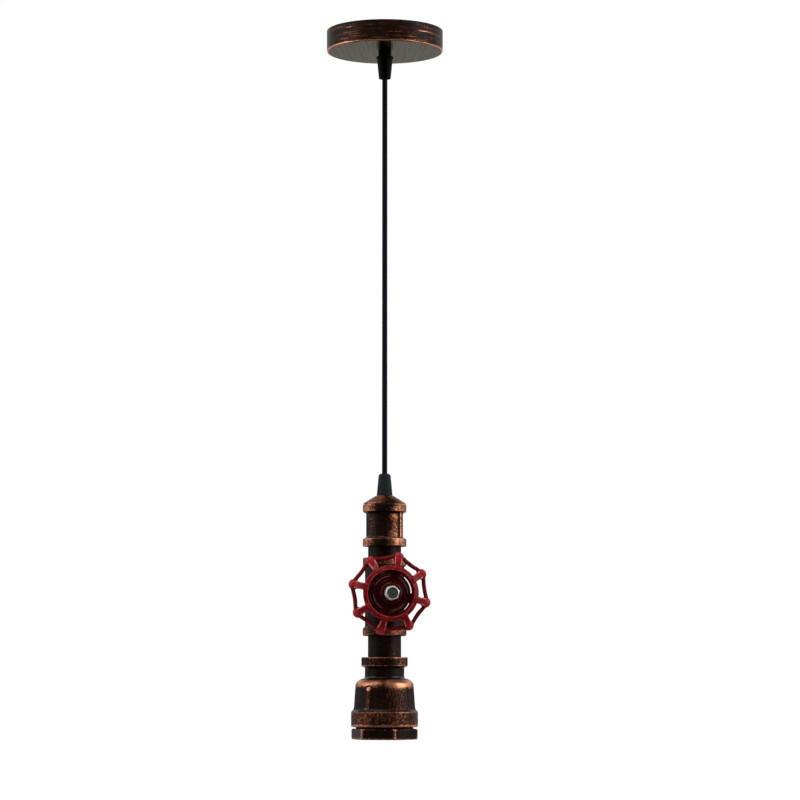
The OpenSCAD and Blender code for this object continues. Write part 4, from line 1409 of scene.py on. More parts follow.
@dataclass
class Handwheel:
    """Cast valve wheel in red enamel, with its nut in front."""

    lobes: int = 8
    arms: int = 4
    turn: float = math.radians(90 - 14)
    tip_r: float = 42.7 * MM
    lobe_r: float = 5.4 * MM
    lobe_half_t: float = 4.6 * MM
    lobe_lift: float = 0.3 * MM
    bar_half: float = 2.1 * MM
    bar_sag: float = 0.9 * MM
    bar_back: float = 1.2 * MM
    rim_half_t: float = 2.6 * MM
    spoke_half: float = 3.3 * MM
    spoke_flare: float = 0.9 * MM
    spoke_half_t_mm: float = 2.1
    spoke_gain_mm: float = 0.9
    ring_r: float = 28.2 * MM
    lip_r: float = 23.7 * MM
    ring_in_r: float = 21.5 * MM
    ring_below_hub: float = 1.0 * MM
    window_in_r: float = 17.4 * MM
    window_deg: float = 61.0
    web_t: float = 3.0 * MM
    hub_r: float = 11.5 * MM
    hub_h: float = 10.7 * MM
    rim_t: float = 4.8 * MM
    bore_r: float = 4.1 * MM
    nut_af: float = 13.0 * MM
    nut_chamfer: float = 1.0 * MM
    nut_bore_r: float = 2.9 * MM
    insert_r: float = 5.7 * MM
    insert_h: float = 1.8 * MM
    insert_play: float = 0.05 * MM
    insert_below: float = 0.3 * MM
    fine_step: float = 0.4 * MM
    voxel: float = 0.45 * MM

    def build(self) -> list[Piece]:
        """Casts the wheel and turns its nut and the nut's insert."""
        return [self.wheel(), self.nut(), self.insert()]

    @staticmethod
    def spot(angle: Array, radius: Array, out: Array) -> Array:
        """Points by angle and radius in the wheel's plane, and by distance out along the branch."""
        return np.stack([radius * np.cos(angle), radius * np.sin(angle), out + 0 * angle], -1)

    def rim(self, middle: float) -> Skin:
        """Rim of bars between lobes.

        The path is an octagon, r = R cos(22.5) / cos(22.5 - |d|) at an angle d from a lobe, drawn in by a
        sag between the lobes. Its corners stay a little behind the lobes' tips. The section is an oval.

        Args:
            middle: distance out of the rim's middle.

        Returns:
            The rim.
        """
        share = math.pi / self.lobes
        angle = np.linspace(0, TURN, 480, endpoint=False) + self.turn
        off = np.abs((angle - self.turn + share) % (2 * share) - share)
        corner = self.tip_r - self.bar_half - self.bar_back
        sag = self.bar_sag * np.sin(off / share * TURN / 4) ** 2
        path_r = corner * math.cos(share) / np.cos(share - off) - sag
        loop = oval(28, 2.6)
        radius = path_r[:, None] + self.bar_half * loop[:, 0]
        out = middle + self.rim_half_t * loop[:, 1] + 0 * radius
        return Skin(self.spot(angle[:, None] + 0 * radius, radius, out), True)

    def lobe(self, number: int, lobe_at: float, middle: float) -> Skin:
        """Round knob of the rim, an ellipsoid whose rows run from its back to its front.

        Args:
            number: which lobe.
            lobe_at: radius of the lobe's middle.
            middle: distance out of the rim's middle.

        Returns:
            The knob.
        """
        angle = self.turn + number * TURN / self.lobes
        pole = 0.03
        tilt = np.linspace(pole, math.pi - pole, 24)[:, None]
        turn = np.linspace(0, TURN, 32, endpoint=False)
        x = lobe_at * math.cos(angle) + self.lobe_r * np.sin(tilt) * np.cos(turn)
        y = lobe_at * math.sin(angle) + self.lobe_r * np.sin(tilt) * np.sin(turn)
        out = middle + self.lobe_lift - self.lobe_half_t * np.cos(tilt) + 0 * turn
        return Skin(np.stack([x, y, out], -1), False)

    def spoke(self, number: int, lobe_at: float, middle: float, ring_out: float) -> Skin:
        """Bar with a flat top that climbs from a lobe to the ring's inner lip, wider towards the lobe.

        The path is the curve (1-t)^2 a + 2t(1-t) b + t^2 c from the lobe to the ring.

        Args:
            number: which lobe.
            lobe_at: radius of the lobe's middle.
            middle: distance out of the rim's middle.
            ring_out: distance out of the ring's crest.

        Returns:
            The spoke.
        """
        angle = self.turn + number * TURN / self.lobes
        t = np.linspace(0, 1, 28)
        knots = np.array([
            [lobe_at, middle + 0.9 * MM],
            [self.ring_r + 3.5 * MM, ring_out - 5.9 * MM],
            [self.lip_r + 0.8 * MM, ring_out - 2.8 * MM],
        ])
        weight = np.stack([(1 - t) ** 2, 2 * t * (1 - t), t**2], -1)
        radius, out = (weight @ knots).T
        path = self.spot(np.full_like(t, angle), radius, out)
        half_w = self.spoke_half + self.spoke_flare * (1 - t) ** 2
        half_t = (self.spoke_half_t_mm + self.spoke_gain_mm * t) * MM
        section = oval(44, 6) * np.stack([half_w, half_t], -1)[:, None]
        return sweep(path, section, (-math.sin(angle), math.cos(angle), 0))

    def arm(self, number: int, back: float) -> Skin:
        """Flat arm of the web between two windows.

        Args:
            number: which arm.
            back: distance out of the web's back.

        Returns:
            The arm.
        """
        angle = self.turn + number * TURN / self.arms
        radius = np.linspace(self.window_in_r - 4 * MM, self.ring_in_r + 2.4 * MM, 12)
        half_t = np.full_like(radius, self.web_t / 2)
        path = self.spot(np.full_like(radius, angle), radius, back + half_t)
        half_deg = (360 / self.arms - self.window_deg) / 2
        half_w = radius * math.sin(math.radians(half_deg))
        section = oval(36, 5) * np.stack([half_w, half_t], -1)[:, None]
        return sweep(path, section, (-math.sin(angle), math.cos(angle), 0))

    def wheel(self) -> Piece:
        """Welds rim, spokes, ring, web and hub into one casting.

        Returns:
            The wheel.
        """
        place = Extent.of("handwheel")
        hub_out = place.front
        back = hub_out - self.hub_h
        lobe_at = self.tip_r - self.lobe_r
        middle = place.back + self.rim_t / 2
        ring_out = hub_out - self.ring_below_hub
        web_out = back + self.web_t
        core_r, beyond = self.bore_r - 1 * MM, 5 * MM
        ring = lathe([
            (self.ring_in_r, back + 0.2 * MM, 0.6 * MM),
            (self.ring_r - 0.6 * MM, back + 1.4 * MM, 1.6 * MM),
            (self.ring_r, ring_out - 2.1 * MM, 0.6 * MM),
            (self.lip_r, ring_out, 0.6 * MM),
        ])
        web = lathe([
            (core_r, back, 0.3 * MM),
            (self.window_in_r, back, 0.6 * MM),
            (self.window_in_r, web_out, 0.8 * MM),
            (self.hub_r + 3 * MM, web_out, 0.6 * MM),
            (self.hub_r, web_out + 2 * MM, 2.0 * MM),
            (self.hub_r, hub_out - 1.6 * MM, 0.9 * MM),
            (self.hub_r - 1.8 * MM, hub_out, 0.9 * MM),
            (core_r, hub_out, 0.3 * MM),
        ])
        spokes = [self.spoke(k, lobe_at, middle, ring_out) for k in range(self.lobes)]
        arms = [self.arm(k, back) for k in range(self.arms)]
        knobs = [self.lobe(k, lobe_at, middle) for k in range(self.lobes)]
        skins = [self.rim(middle), ring, web, *spokes, *arms, *knobs]
        piece = cast("red_wheel", self.voxel, 3, *(along_branch(skin) for skin in skins))
        drilled(piece, along_branch(bore(self.bore_r, back - beyond, hub_out + beyond)))
        roughen(piece, 0.05 * MM, 9 * MM, seed=21)
        self.shade_bowl(piece)
        return fit(piece, "wheel", "red_enamel", "handwheel", ENAMEL)

    def shade_bowl(self, piece: Piece) -> None:
        """Paints light and shade into the enamel's red: painted highlights on ridges, lobes and the windows'
        inner edge, painted shade in corners and on the rim's bars, and darkest painted shade down in the
        bowl.

        Args:
            piece: the wheel.
        """
        points = vertices(piece)
        stand = relief(piece, 18)
        up = points[:, 2] - BRANCH_Z
        radius = np.hypot(points[:, 0], up)
        share = math.pi / self.lobes
        angle = np.arctan2(up, points[:, 0]) - self.turn
        aside = np.abs((angle + share) % (TURN / self.lobes) - share) * radius
        # Painted shade: darkest down in the bowl, and darker on the rim's bars
        bowl = ease(-radius, -self.lip_r + 0.3 * MM, -self.ring_in_r)
        bar = ease(radius, self.ring_r + 4 * MM, self.ring_r + 6 * MM) * ease(aside, 3.5 * MM, 6 * MM)
        ring = ease(-radius, -self.ring_r - 1.5 * MM, -self.ring_r - 0.3 * MM)
        # Painted highlight on the lobes
        knob = ease(radius, self.tip_r - 2 * self.lobe_r, self.tip_r - self.lobe_r)
        knob *= ease(-aside, -6 * MM, -3.5 * MM)
        # Painted highlight on the windows' inner edge
        edge = bell(radius, self.window_in_r, 0.6 * MM) * ease(stand, 0.04 * MM, 0.2 * MM)
        # Painted highlight on ridges and painted shade in corners
        ridge = 0.6 * ease(stand, 0.06 * MM, 0.3 * MM) - 0.34 * ease(-stand, 0.03 * MM, 0.4 * MM)
        ridge *= (1 - 0.5 * bowl) * (1 - 0.5 * bar) * (1 - 0.4 * ring)
        paint(piece, "rub", 0.31 + ridge + 0.8 * edge + 0.18 * knob - 0.31 * bowl - 0.12 * bar)

    def nut(self) -> Piece:
        """Lock nut: a chamfered hexagon whose rim holds the insert.

        Returns:
            The nut.
        """
        place = Extent.of("wheel_nut")
        front, seat = place.front, place.back
        corner = self.nut_af / math.sqrt(3)
        collar = self.nut_af / 2 - 0.5 * MM
        shape = lathe([
            (self.nut_bore_r, seat, 0.1 * MM),
            (self.nut_af / 2, seat, 0.2 * MM),
            (corner, seat + 0.7 * MM, 0.2 * MM),
            (corner, front - self.nut_chamfer, 0.2 * MM),
            (collar, front, 0.5 * MM),
            (self.insert_r, front, 0.2 * MM),
            (self.insert_r, front - self.insert_h, 0.1 * MM),
            (self.nut_bore_r, front - self.insert_h, 0.1 * MM),
        ], 120, hexagon(self.nut_af, self.turn, 0.08 * MM), self.fine_step)
        piece = piece_of("lock_nut", along_branch(shape))
        return fit(piece, "wheel", "zinc_steel", "wheel_nut", TUMBLED_ZINC)

    def insert(self) -> Piece:
        """Nylon ring in the nut, a little below its rim, which grips the spindle's thread.

        Returns:
            The ring.
        """
        place = Extent.of("nut_insert")
        front, back = place.front - self.insert_below, place.back
        inner, outer = self.nut_bore_r + self.insert_play, self.insert_r - self.insert_play
        shape = lathe([
            (inner, back, 0.1 * MM),
            (outer, back, 0.1 * MM),
            (outer, front, 0.3 * MM),
            (inner, front, 0.5 * MM),
        ], 96, step=self.fine_step)
        piece = piece_of("lock_insert", along_branch(shape))
        return fit(piece, "wheel", "green_nylon", "nut_insert", GREEN_NYLON)


@dataclass(frozen=True)
class BellLevels:
    """Heights of the reducer's forms, from its rim down."""

    rim: float
    neck: float
    shoulder: float
    dome: float
    skirt: float
    band: float
    ledge: float


@dataclass
class BellReducer:
    """Domed reducer and the hexagon bush under it."""

    socket_r: float = 16.6 * MM
    socket_depth: float = 15.0 * MM
    core_r: float = 13.6 * MM
    top_band_r: float = 23.5 * MM
    band_lift: float = 1.4 * MM
    top_band_h: float = 7.9 * MM
    neck_r: float = 20.0 * MM
    neck_h: float = 11.3 * MM
    shoulder_h: float = 11.6 * MM
    dome_drop: float = 1.0 * MM
    dome_h: float = 7.9 * MM
    bell_top_r: float = 29.6 * MM
    bell_low_r: float = 31.2 * MM
    band_h: float = 15.2 * MM
    flare_h: float = 3.0 * MM
    cavity_r: float = 26.4 * MM
    bush_socket_r: float = 29.6 * MM
    bush_socket_h: float = 18.0 * MM
    ledge_r: float = 23.0 * MM
    ledge_h: float = 4.0 * MM
    rib_w: float = 4.6 * MM
    rib_h: float = 1.6 * MM
    rib_turn: float = math.radians(-39 - 90)
    bush_af: float = 60.2 * MM
    bush_turn: float = math.radians(-19.7)
    bush_thread_r: float = 29.5 * MM
    bush_bore_r: float = 20.5 * MM
    bush_gap: float = 1.8 * MM
    thread_pitch: float = 2.3 * MM
    thread_half: float = 0.35 * MM
    # Copper patches on the flanks are partly rubbed and partly a painted highlight where the lamps reflect;
    # the dome's shade is a painted dark reflection of the front
    top_rub: Patch = Patch(0.2, 36, 26)
    side_rub: Patch = Patch(0.26, 20, 26)
    dome_shade: Patch = Patch(0.7, -9, 14)

    def build(self) -> list[Piece]:
        """Turns the reducer and the bush."""
        return [self.reducer(), self.bush()]

    def levels(self, place: Extent) -> BellLevels:
        """Finds the heights of the reducer's forms.

        Args:
            place: where the reducer is.

        Returns:
            The heights.
        """
        neck = place.top - self.top_band_h
        shoulder = neck - self.neck_h
        return BellLevels(
            rim=place.top + self.band_lift,
            neck=neck,
            shoulder=shoulder,
            dome=shoulder - self.dome_drop,
            skirt=shoulder - self.shoulder_h,
            band=place.end + self.band_h,
            ledge=place.end + self.bush_socket_h,
        )

    def reducer(self) -> Piece:
        """Bell with a domed shoulder, a cast rib and a band at each end.

        Returns:
            The reducer.
        """
        place = Extent.of("bell_reducer")
        at = self.levels(place)
        shape = lathe(self.corners(place, at), 228, self.ribbed(at), 0.8 * MM)
        piece = piece_of("bell_reducer_casting", shape)
        self.dress(piece, place, at)
        return piece

    def corners(self, place: Extent, at: BellLevels) -> list[Corner]:
        """Corners of the reducer's outline, down the outside and up the inside.

        The shoulder is a quarter of an ellipse, neck + (bell - neck) sqrt(1 - (1 - s)^2) over its height s.

        Args:
            place: where the reducer is.
            at: heights of its forms.

        Returns:
            Radius, height and round of each corner.
        """
        top, end, wide = place.top, place.end, place.radius
        mouth_r = self.socket_r + 0.4 * MM
        socket_end = top - self.socket_depth
        ledge_top = at.ledge + self.ledge_h
        share = np.linspace(0.12, 1.0, 16)
        dome_r = self.neck_r + (self.bell_top_r - self.neck_r) * np.sqrt(1 - (1 - share) ** 2)
        dome = [(float(r), float(z), 0.3 * MM) for r, z in zip(dome_r, at.dome - share * self.dome_h)]
        return [
            (mouth_r, at.rim, 0.3 * MM),
            (self.top_band_r, at.rim, 1.0 * MM),
            (self.top_band_r, at.neck, 0.9 * MM),
            (self.neck_r, at.neck - 0.8 * MM, 2.0 * MM),
            (self.neck_r, at.dome + 0.4 * MM, 3.0 * MM),
            *dome,
            (self.bell_low_r, at.band + self.flare_h, 1.6 * MM),
            (wide - 0.5 * MM, at.band + 0.4 * MM, 0.3 * MM),
            (wide, at.band, 0.4 * MM),
            (wide, end, 1.3 * MM),
            (self.bush_socket_r, end, 0.5 * MM),
            (self.bush_socket_r, at.ledge, 0.2 * MM),
            (self.ledge_r, at.ledge, 0.2 * MM),
            (self.ledge_r, ledge_top, 0.5 * MM),
            (self.cavity_r, ledge_top + 1 * MM, 0.5 * MM),
            (self.cavity_r, at.skirt, 3.0 * MM),
            (self.core_r, at.shoulder - 2 * MM, 2.0 * MM),
            (self.core_r, socket_end, 0.2 * MM),
            (self.socket_r, socket_end, 0.2 * MM),
            (self.socket_r, top, 0.2 * MM),
            (mouth_r, top + 0.2 * MM, 0.2 * MM),
        ]

    def ribbed(self, at: BellLevels) -> Bend:
        """Makes a bend that adds the rib to the bell's outside, round at its upper end.

        Args:
            at: heights of the reducer's forms.

        Returns:
            The bend for a lathe.
        """
        half, soft = self.rib_w / 2, 0.5 * MM

        def bend(angle: Array, radius: Array, height: Array) -> Array:
            """Radius of the ribbed bell.

            Args:
                angle: angle round the axis.
                radius: radius of the turned piece.
                height: height along the axis.

            Returns:
                The radius of each point.
            """
            off = ((angle - self.rib_turn + math.pi) % TURN - math.pi) * self.bell_low_r
            away = np.hypot(off, np.maximum(0, height - at.skirt))
            share = 1 - ease(away, half - soft, half + soft)
            gain = (self.bell_low_r - self.bell_top_r) * (at.skirt - height) / (at.skirt - at.band)
            crest = self.bell_top_r + gain + self.rib_h
            on_bell = (height > at.band) & (height < at.skirt + self.rib_w)
            low = (radius > self.cavity_r + 0.5 * MM) & (radius < crest)
            return np.where(on_bell & low, radius + share * (crest - radius), radius)

        return bend

    def from_rib(self, points: Array, at: BellLevels) -> Array:
        """Distance of each point from the rib's middle line, without end behind the axis.

        Args:
            points: places on the reducer, one row each.
            at: heights of its forms.

        Returns:
            The distance of each point.
        """
        across = np.arctan2(points[:, 1], points[:, 0]) - self.rib_turn
        away = np.hypot(np.sin(across) * self.bell_low_r, np.maximum(0, points[:, 2] - at.skirt))
        return np.where(np.cos(across) > 0, away, np.inf)

    def dress(self, piece: Piece, place: Extent, at: BellLevels) -> None:
        """Paints the copper, with painted highlights on the flanks, a painted glint on the rib's upper end,
        a painted shadow round it and a painted dark reflection on the dome's front, and splits the faces
        between the brushed bell and the dabbed bands.

        Args:
            piece: the reducer.
            place: where it is.
            at: heights of its forms.
        """
        points = vertices(piece)
        height, out = points[:, 2], from_axis(points)
        dome = ease(at.dome - height, 0.5 * MM, 2.5 * MM) * ease(height - at.dome, -11.5 * MM, -5.5 * MM)
        band = ease(-height, -at.band, -at.band + 1 * MM)
        top = ease(height, at.neck - 0.5 * MM, at.neck + 0.5 * MM)
        # Top band's patch on the right flank: partly rubbed copper, partly a painted highlight
        base = 0.06 + 0.92 * dome + 0.25 * band + top * (0.1 + self.top_rub.on(piece))
        base -= 0.3 * ease(height, at.dome - 1 * MM, at.dome) * (1 - top)
        # Bell's patch on the right flank: partly rubbed copper, partly a painted highlight
        base += self.side_rub.on(piece) * (1 - band) * (1 - top)
        away = self.from_rib(points, at) - self.rib_w / 2
        on_rib = (1 - ease(away, 0, 1 * MM)) * (height > at.band) * (out > self.bell_top_r)
        # Copper on the rib's upper end as a painted glint
        rib_end = ease(height, at.skirt - 2.5 * MM, at.skirt)
        base = base * (1 - on_rib) + on_rib * (0.8 * rib_end + 0.12)
        # Painted dark reflection on the dome's front
        base -= dome * self.dome_shade.on(piece)
        # Painted shadow in a ring round the rib's upper end
        hollow = ease(away, 0.3 * MM, 0.9 * MM) * (1 - ease(away, 1.3 * MM, 2.3 * MM))
        base -= 0.7 * hollow * (height > at.skirt - 1 * MM)
        edges = 0.42 * ease(place.end + 3.6 * MM - height, 0, 2 * MM)
        for edge in (at.rim - 0.5 * MM, at.neck + 0.6 * MM, at.band - 0.2 * MM):
            edges += 0.36 * bell(height, edge, 0.6 * MM)
        flare = 0.5 * bell(height, at.band + 1.2 * MM, 1.0 * MM) * (1 - on_rib)
        Rub(0.24, seed=31, uneven=0.1).on(piece, base + edges * (out > self.neck_r + 2 * MM), flare)
        fit(piece, "pipe", "rustic_iron", "bell_reducer", BRUSHED_IRON, DABBED_IRON)
        middle = centres(piece)[:, 2]
        split_finishes(piece, (middle < at.band) | (middle > at.neck))

    def bush(self) -> Piece:
        """Hexagon bush with a little of its thread showing above.

        The thread is a ridge that climbs one pitch a turn, depth * cos(2 pi z / pitch - a).

        Returns:
            The bush.
        """
        place = Extent.of("hex_bush")
        hex_top = Extent.of("bell_reducer").end - self.bush_gap
        corner = self.bush_af / math.sqrt(3)
        trim = hexagon(self.bush_af, self.bush_turn, 0.3 * MM)

        def threaded(angle: Array, radius: Array, height: Array) -> Array:
            """Trims the hexagon and winds the thread above it.

            Args:
                angle: angle round the axis.
                radius: radius of the turned piece.
                height: height along the axis.

            Returns:
                The radius of each point.
            """
            wave = np.cos(TURN * height / self.thread_pitch - angle)
            thread = (height > hex_top + 0.2 * MM) & (np.abs(radius - self.bush_thread_r) < 0.05 * MM)
            cut = np.where(thread, radius - self.thread_half * (1 - wave), radius)
            return np.where(height < hex_top + 0.1 * MM, trim(angle, cut, height), cut)

        piece = piece_of("hexagon_bush", lathe([
            (self.bush_bore_r, place.top, 0.4 * MM),
            (self.bush_thread_r, place.top, 0.02 * MM),
            (self.bush_thread_r, hex_top, 0.02 * MM),
            (corner - 1.2 * MM, hex_top, 0.3 * MM),
            (corner, hex_top - 0.9 * MM, 0.3 * MM),
            (corner, place.end + 1.1 * MM, 0.3 * MM),
            (corner - 1.6 * MM, place.end, 0.4 * MM),
            (self.bush_bore_r, place.end, 1.0 * MM),
        ], 288, threaded, 0.5 * MM))
        points = vertices(piece)
        height = points[:, 2]
        faces = from_axis(points) > self.bush_af / 2 - 1.5 * MM
        rims = ease(place.end + 2.6 * MM - height, 0, 1.4 * MM)
        rims += 0.6 * ease(height, hex_top - 1.9 * MM, hex_top - 0.9 * MM)
        Rub(0.6, seed=33, uneven=0.06, rounds=20).on(piece, 0.06 + 0.42 * rims * faces)
        return fit(piece, "pipe", "rustic_iron", "hex_bush", DABBED_IRON)


@dataclass
class Lampholder:
    """Porcelain lampholder in the bell, with its rolled brass shell."""

    body_r: float = 20.0 * MM
    neck_r: float = 15.0 * MM
    neck_h: float = 11.0 * MM
    post_r: float = 2 * MM
    shell_gap_r: float = 14.25 * MM
    chamber_r: float = 10.0 * MM
    chamber_h: float = 6.0 * MM
    flange_r: float = 27.0 * MM
    flange_t: float = 3.5 * MM
    crest_r: float = 13.45 * MM
    shell_r: float = 14.15 * MM
    shell_t: float = 0.7 * MM
    roll_half: float = 0.28 * MM
    pitch: float = 3.62 * MM
    segments: int = 144

    def build(self) -> list[Piece]:
        """Turns the porcelain and rolls the shell."""
        return [self.porcelain(), self.shell()]

    def porcelain(self) -> Piece:
        """Glazed body with a skirt, a clamping flange and a neck.

        Returns:
            The porcelain.
        """
        place = Extent.of("lampholder_body")
        seat = Extent.of("lampholder_shell").top
        roof = seat + self.chamber_h
        flange = Extent.of("hex_bush").top
        flange_top = flange + self.flange_t
        step = place.top - self.neck_h
        piece = piece_of("porcelain_body", lathe([
            (self.shell_gap_r, place.end, 0.9 * MM),
            (self.body_r, place.end, 1.2 * MM),
            (self.body_r, flange, 0.6 * MM),
            (self.flange_r, flange, 0.6 * MM),
            (self.flange_r, flange_top, 0.6 * MM),
            (self.body_r, flange_top, 0.8 * MM),
            (self.body_r, step, 1.2 * MM),
            (self.neck_r, step, 0.8 * MM),
            (self.neck_r, place.top, 1.0 * MM),
            (self.post_r, place.top, 0.4 * MM),
            (self.post_r, roof, 0.3 * MM),
            (self.chamber_r, roof, 0.6 * MM),
            (self.chamber_r, seat, 0.4 * MM),
            (self.shell_gap_r, seat, 0.3 * MM),
        ], self.segments))
        return fit(piece, "pipe", "white_porcelain", "lampholder_body", PORCELAIN)

    def shell(self) -> Piece:
        """Brass shell whose inside rolls as the lamp's round thread, r + d (1 + sin(2 pi z / pitch - a)).

        Returns:
            The shell.
        """
        place = Extent.of("lampholder_shell")
        floor, eye_r = place.top - self.shell_t, self.chamber_r + 0.4 * MM

        def rolled(angle: Array, radius: Array, height: Array) -> Array:
            """Rolls the thread into the inner wall.

            Args:
                angle: angle round the axis.
                radius: radius of the turned piece.
                height: height along the axis.

            Returns:
                The radius of each point.
            """
            wave = self.roll_half * (1 + np.sin(TURN * height / self.pitch - angle))
            inside = np.abs(radius - self.crest_r) < 0.02 * MM
            return np.where(inside, radius + wave, radius)

        piece = piece_of("rolled_shell", lathe([
            (self.crest_r, place.end, 0.02 * MM),
            (self.shell_r, place.end, 0.1 * MM),
            (self.shell_r, place.top, 0.3 * MM),
            (eye_r, place.top, 0.1 * MM),
            (eye_r, floor, 0.1 * MM),
            (self.crest_r, floor, 0.02 * MM),
        ], self.segments, rolled, 0.3 * MM))
        return fit(piece, "pipe", "bare_brass", "lampholder_shell", DRAWN_BRASS)


@dataclass
class FittedParts:
    """CAD pieces whose shape is right, which only need their finish and eased edges."""

    ease_edge: float = 0.2 * MM
    weld: float = 0.005 * MM
    crease_deg: float = 50.0

    def build(self) -> list[Piece]:
        """Finishes each piece by what it is made of.

        Returns:
            The CAD pieces.
        """
        finishes: dict[GrainedSolid, tuple[str, ...]] = {
            ZINC_PLATE: (
                "ceiling_bracket", "rose_screws", "block_screws", "block_fixing_screw", "upper_grip_locknut",
                "lampholder_screws", "valve_spindle", "wheel_washer",
            ),
            DRAWN_BRASS: ("block_tubes", "earth_screw", "lampholder_terminals", "contact_tongue"),
            WHITE_NYLON: ("terminal_block",),
            BLACK_NYLON: ("upper_grip_body", "upper_grip_collet", "lower_grip_body", "lower_grip_collet"),
            PVC_SHEATH: ("rose_cord", "cord_flex", "inner_cord"),
            CORE_PVC: ("rose_cores", "lampholder_cores"),
            GRAPHITE_YARN: ("gland_packing",),
        }
        return [self.finished(name, finish) for finish, names in finishes.items() for name in names]

    def finished(self, name: str, finish: GrainedSolid) -> Piece:
        """Gives one CAD node its material and eased edges.

        Args:
            name: name of the node.
            finish: finish that it takes.

        Returns:
            The node.
        """
        node = frame["nodes"][name]
        node.data.materials.clear()
        node.data.materials.append(finish.material())
        weld = node.modifiers.new("weld", "WELD")
        weld.merge_threshold = self.weld
        bevel = node.modifiers.new("eased_edges", "BEVEL")
        bevel.width = self.ease_edge
        bevel.segments = 2
        bevel.limit_method = "ANGLE"
        bevel.angle_limit = math.radians(self.crease_deg)
        return node


# The studio


def facing(azimuth: float, elevation: float) -> Vector:
    """Direction from the light to a place round it, with azimuth 0 in front, in degrees."""
    a, e = math.radians(azimuth), math.radians(elevation)
    return Vector((math.sin(a) * math.cos(e), -math.cos(a) * math.cos(e), math.sin(e)))


@dataclass
class PhotoCamera:
    """Camera where the photograph was taken: below the rose, a little left, tilted up."""

    distance: float = 3.0
    azimuth: float = -7.2
    height: float = -0.6475
    pitch: float = 5.035
    aim_right: float = 0.3
    lens_mm: float = 132.3
    sensor_mm: float = 36.0

    def build(self) -> None:
        """Sets up the camera."""
        data = bpy.data.cameras.new("photo_camera")
        data.lens = self.lens_mm
        data.sensor_width = self.sensor_mm
        camera = bpy.data.objects.new("photo_camera", data)
        camera.location = facing(self.azimuth, 0) * self.distance + Vector((0, 0, self.height))
        yaw = self.azimuth - self.aim_right
        camera.rotation_euler = (math.radians(90 + self.pitch), 0, math.radians(yaw))
        bpy.context.scene.collection.objects.link(camera)
        bpy.context.scene.camera = camera


@dataclass(frozen=True)
class SoftBox:
    """One soft studio lamp that looks at the light."""

    name: str
    azimuth: float
    elevation: float
    distance: float
    width: float
    height: float
    watts: float

    def build(self, middle: Vector) -> None:
        """Places the lamp.

        Args:
            middle: point that it looks at.
        """
        data = bpy.data.lights.new(self.name, "AREA")
        data.shape = "RECTANGLE"
        data.size, data.size_y = self.width, self.height
        data.energy = self.watts
        lamp = bpy.data.objects.new(self.name, data)
        way = facing(self.azimuth, self.elevation)
        lamp.location = middle + way * self.distance
        lamp.rotation_euler = way.to_track_quat("Z", "Y").to_euler()
        bpy.context.scene.collection.objects.link(lamp)


@dataclass(frozen=True)
class Flag:
    """Black card round, over or under the light, which only the metal's reflections see."""

    name: str
    azimuth: float
    half_deg: float
    first_edge: tuple[float, float]
    last_edge: tuple[float, float]

    def build(self) -> Piece:
        """Makes the card between two arcs of given radius and height, hidden from all but glossy rays.

        Returns:
            The card.
        """
        spread = np.radians(self.azimuth + np.linspace(-self.half_deg, self.half_deg, 49))
        arc = np.stack([np.sin(spread), -np.cos(spread), 0 * spread], -1)
        edges = (self.first_edge, self.last_edge)
        points = np.concatenate([arc * radius + [0, 0, z] for radius, z in edges])
        start = np.arange(len(arc) - 1)
        faces = np.stack([start, start + 1, start + 1 + len(arc), start + len(arc)], -1)
        mesh = bpy.data.meshes.new(self.name)
        mesh.from_pydata(points, [], faces.tolist())
        material, shader, _ = blank_material("black velvet")
        feed(shader, {"Base Color": linear("#101010"), "Roughness": 1.0})
        mesh.materials.append(material)
        card = bpy.data.objects.new(self.name, mesh)
        for way in ("camera", "diffuse", "transmission", "volume_scatter", "shadow"):
            setattr(card, f"visible_{way}", False)
        return card


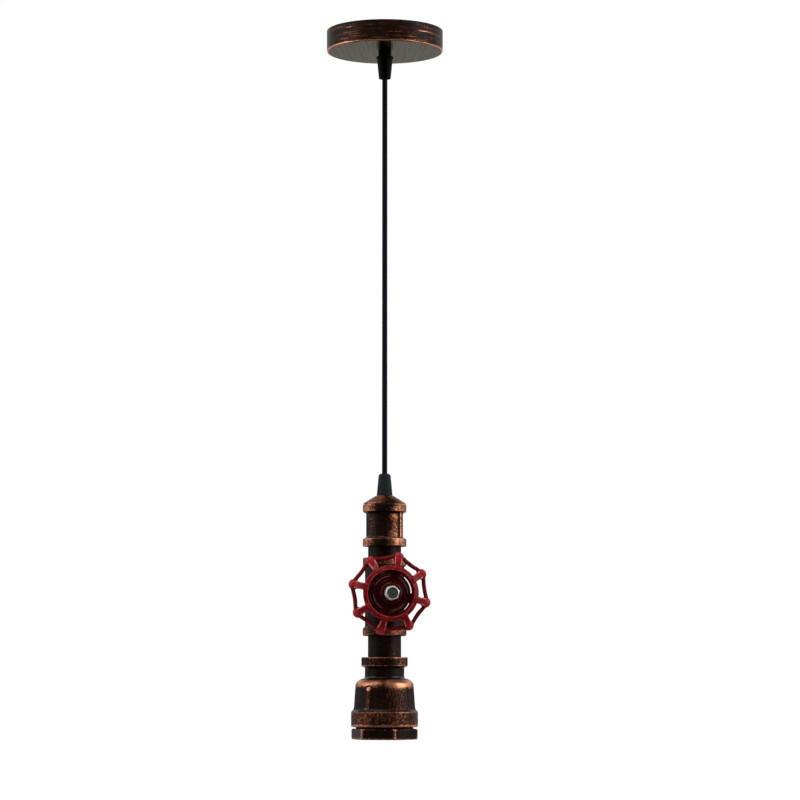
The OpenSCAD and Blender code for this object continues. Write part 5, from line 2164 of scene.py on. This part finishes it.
@dataclass
class Studio:
    """White studio: soft lamps, a pale floor and dark flags that give the metal its dark middle."""

    floor_z: float = -2.6
    floor_half: float = 40.0
    floor_glow: float = 0.64
    ambient: float = 0.5
    flags: tuple[Flag, ...] = (
        Flag("front_flag", -7.2, 56.0, (4.0, -2.4), (4.0, 2.2)),
        Flag("back_flag", 172.8, 50.0, (1.2, -0.735), (1.2, -0.38)),
        Flag("high_flag", 0.0, 180.0, (0.01, 2.4), (4.0, 2.4)),
        Flag("low_flag", 0.0, 180.0, (0.01, -1.5), (1.8, -1.5)),
        Flag("left_flag", -88.0, 32.0, (1.6, -1.5), (1.6, -0.6)),
        Flag("right_flag", 76.0, 30.0, (1.6, -1.5), (1.6, -0.72)),
    )
    lamps: tuple[SoftBox, ...] = (
        SoftBox("left_softbox", -84.0, 14.0, 1.9, 1.3, 2.2, 19.0),
        SoftBox("right_softbox", 66.0, 12.0, 1.9, 1.3, 2.2, 30.0),
        SoftBox("top_softbox", -30.0, 60.0, 2.2, 1.2, 1.2, 30.0),
    )

    def build(self) -> None:
        """Lights the scene and lays the floor."""
        low, high = CAD_BOX
        for lamp in self.lamps:
            lamp.build((low + high) / 2)
        self.world()
        self.floor()
        for flag in self.flags:
            self.stage(flag.build())

    def seen(self, add: Callable[..., Socket]) -> Socket:
        """Share that is 1 for what the camera sees, directly, in metal or through glass.

        Args:
            add: add_node for the tree that asks.

        Returns:
            The socket with the share.
        """
        rays = add("LightPath").node.outputs
        sharp = add("Math", {0: rays["Is Glossy Ray"], 1: rays["Is Transmission Ray"]}, operation="MAXIMUM")
        return add("Math", {0: rays["Is Camera Ray"], 1: sharp}, operation="MAXIMUM")

    def world(self) -> None:
        """White to the eye, and a soft grey level as light."""
        world = bpy.data.worlds.new("white_studio")
        bpy.context.scene.world = world
        world.use_nodes = True
        add = functools.partial(add_node, world.node_tree)
        level = add("MapRange", {"Value": self.seen(add), "To Min": self.ambient, "To Max": 1.0})
        feed(world.node_tree.nodes["Background"], {"Color": (1, 1, 1, 1), "Strength": level})

    def floor(self) -> None:
        """Pale floor far below, which keeps the light's shadow and reads as white."""
        half = self.floor_half
        corners = [(-half, -half), (half, -half), (half, half), (-half, half)]
        mesh = bpy.data.meshes.new("floor")
        mesh.from_pydata([(x, y, self.floor_z) for x, y in corners], [], [(0, 1, 2, 3)])
        material, shader, add = blank_material("pale floor")
        feed(shader, {
            "Base Color": linear("#E4E4E4"),
            "Roughness": 0.9,
            "Specular IOR Level": 0.0,
            "Emission Color": (1, 1, 1, 1),
            "Emission Strength": add("Math", {0: self.seen(add), 1: self.floor_glow}, operation="MULTIPLY"),
        })
        mesh.materials.append(material)
        self.stage(bpy.data.objects.new("floor", mesh))

    def stage(self, thing: Piece) -> None:
        """Links a thing that isn't part of the light."""
        bpy.context.scene.collection.objects.link(thing)
        thing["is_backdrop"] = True


def write_sizes() -> None:
    boxes = {"cad": CAD_BOX, "visual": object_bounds()}
    json.dumps({name: [list(corner) for corner in box] for name, box in boxes.items()})


def main() -> None:
    """Builds the light and the studio round it, and reports each piece."""
    logging.basicConfig(level=logging.INFO, format="%(message)s")
    PhotoCamera().build()
    light: tuple[SubAssembly, ...] = (
        PendantFlex(),
        CeilingRose(),
        CordGrips(),
        PipeFittings(),
        ValveWorks(),
        Handwheel(),
        BellReducer(),
        Lampholder(),
        FittedParts(),
    )
    for assembly in light:
        for piece in assembly.build():
            finish = piece.data.materials[0].name
            LOG.info("%s in %s, %d faces", piece.name, finish, len(piece.data.polygons))
    Studio().build()
    bpy.context.scene.view_settings.view_transform = "Standard"
    write_sizes()


if __name__ == "__main__":
    main()
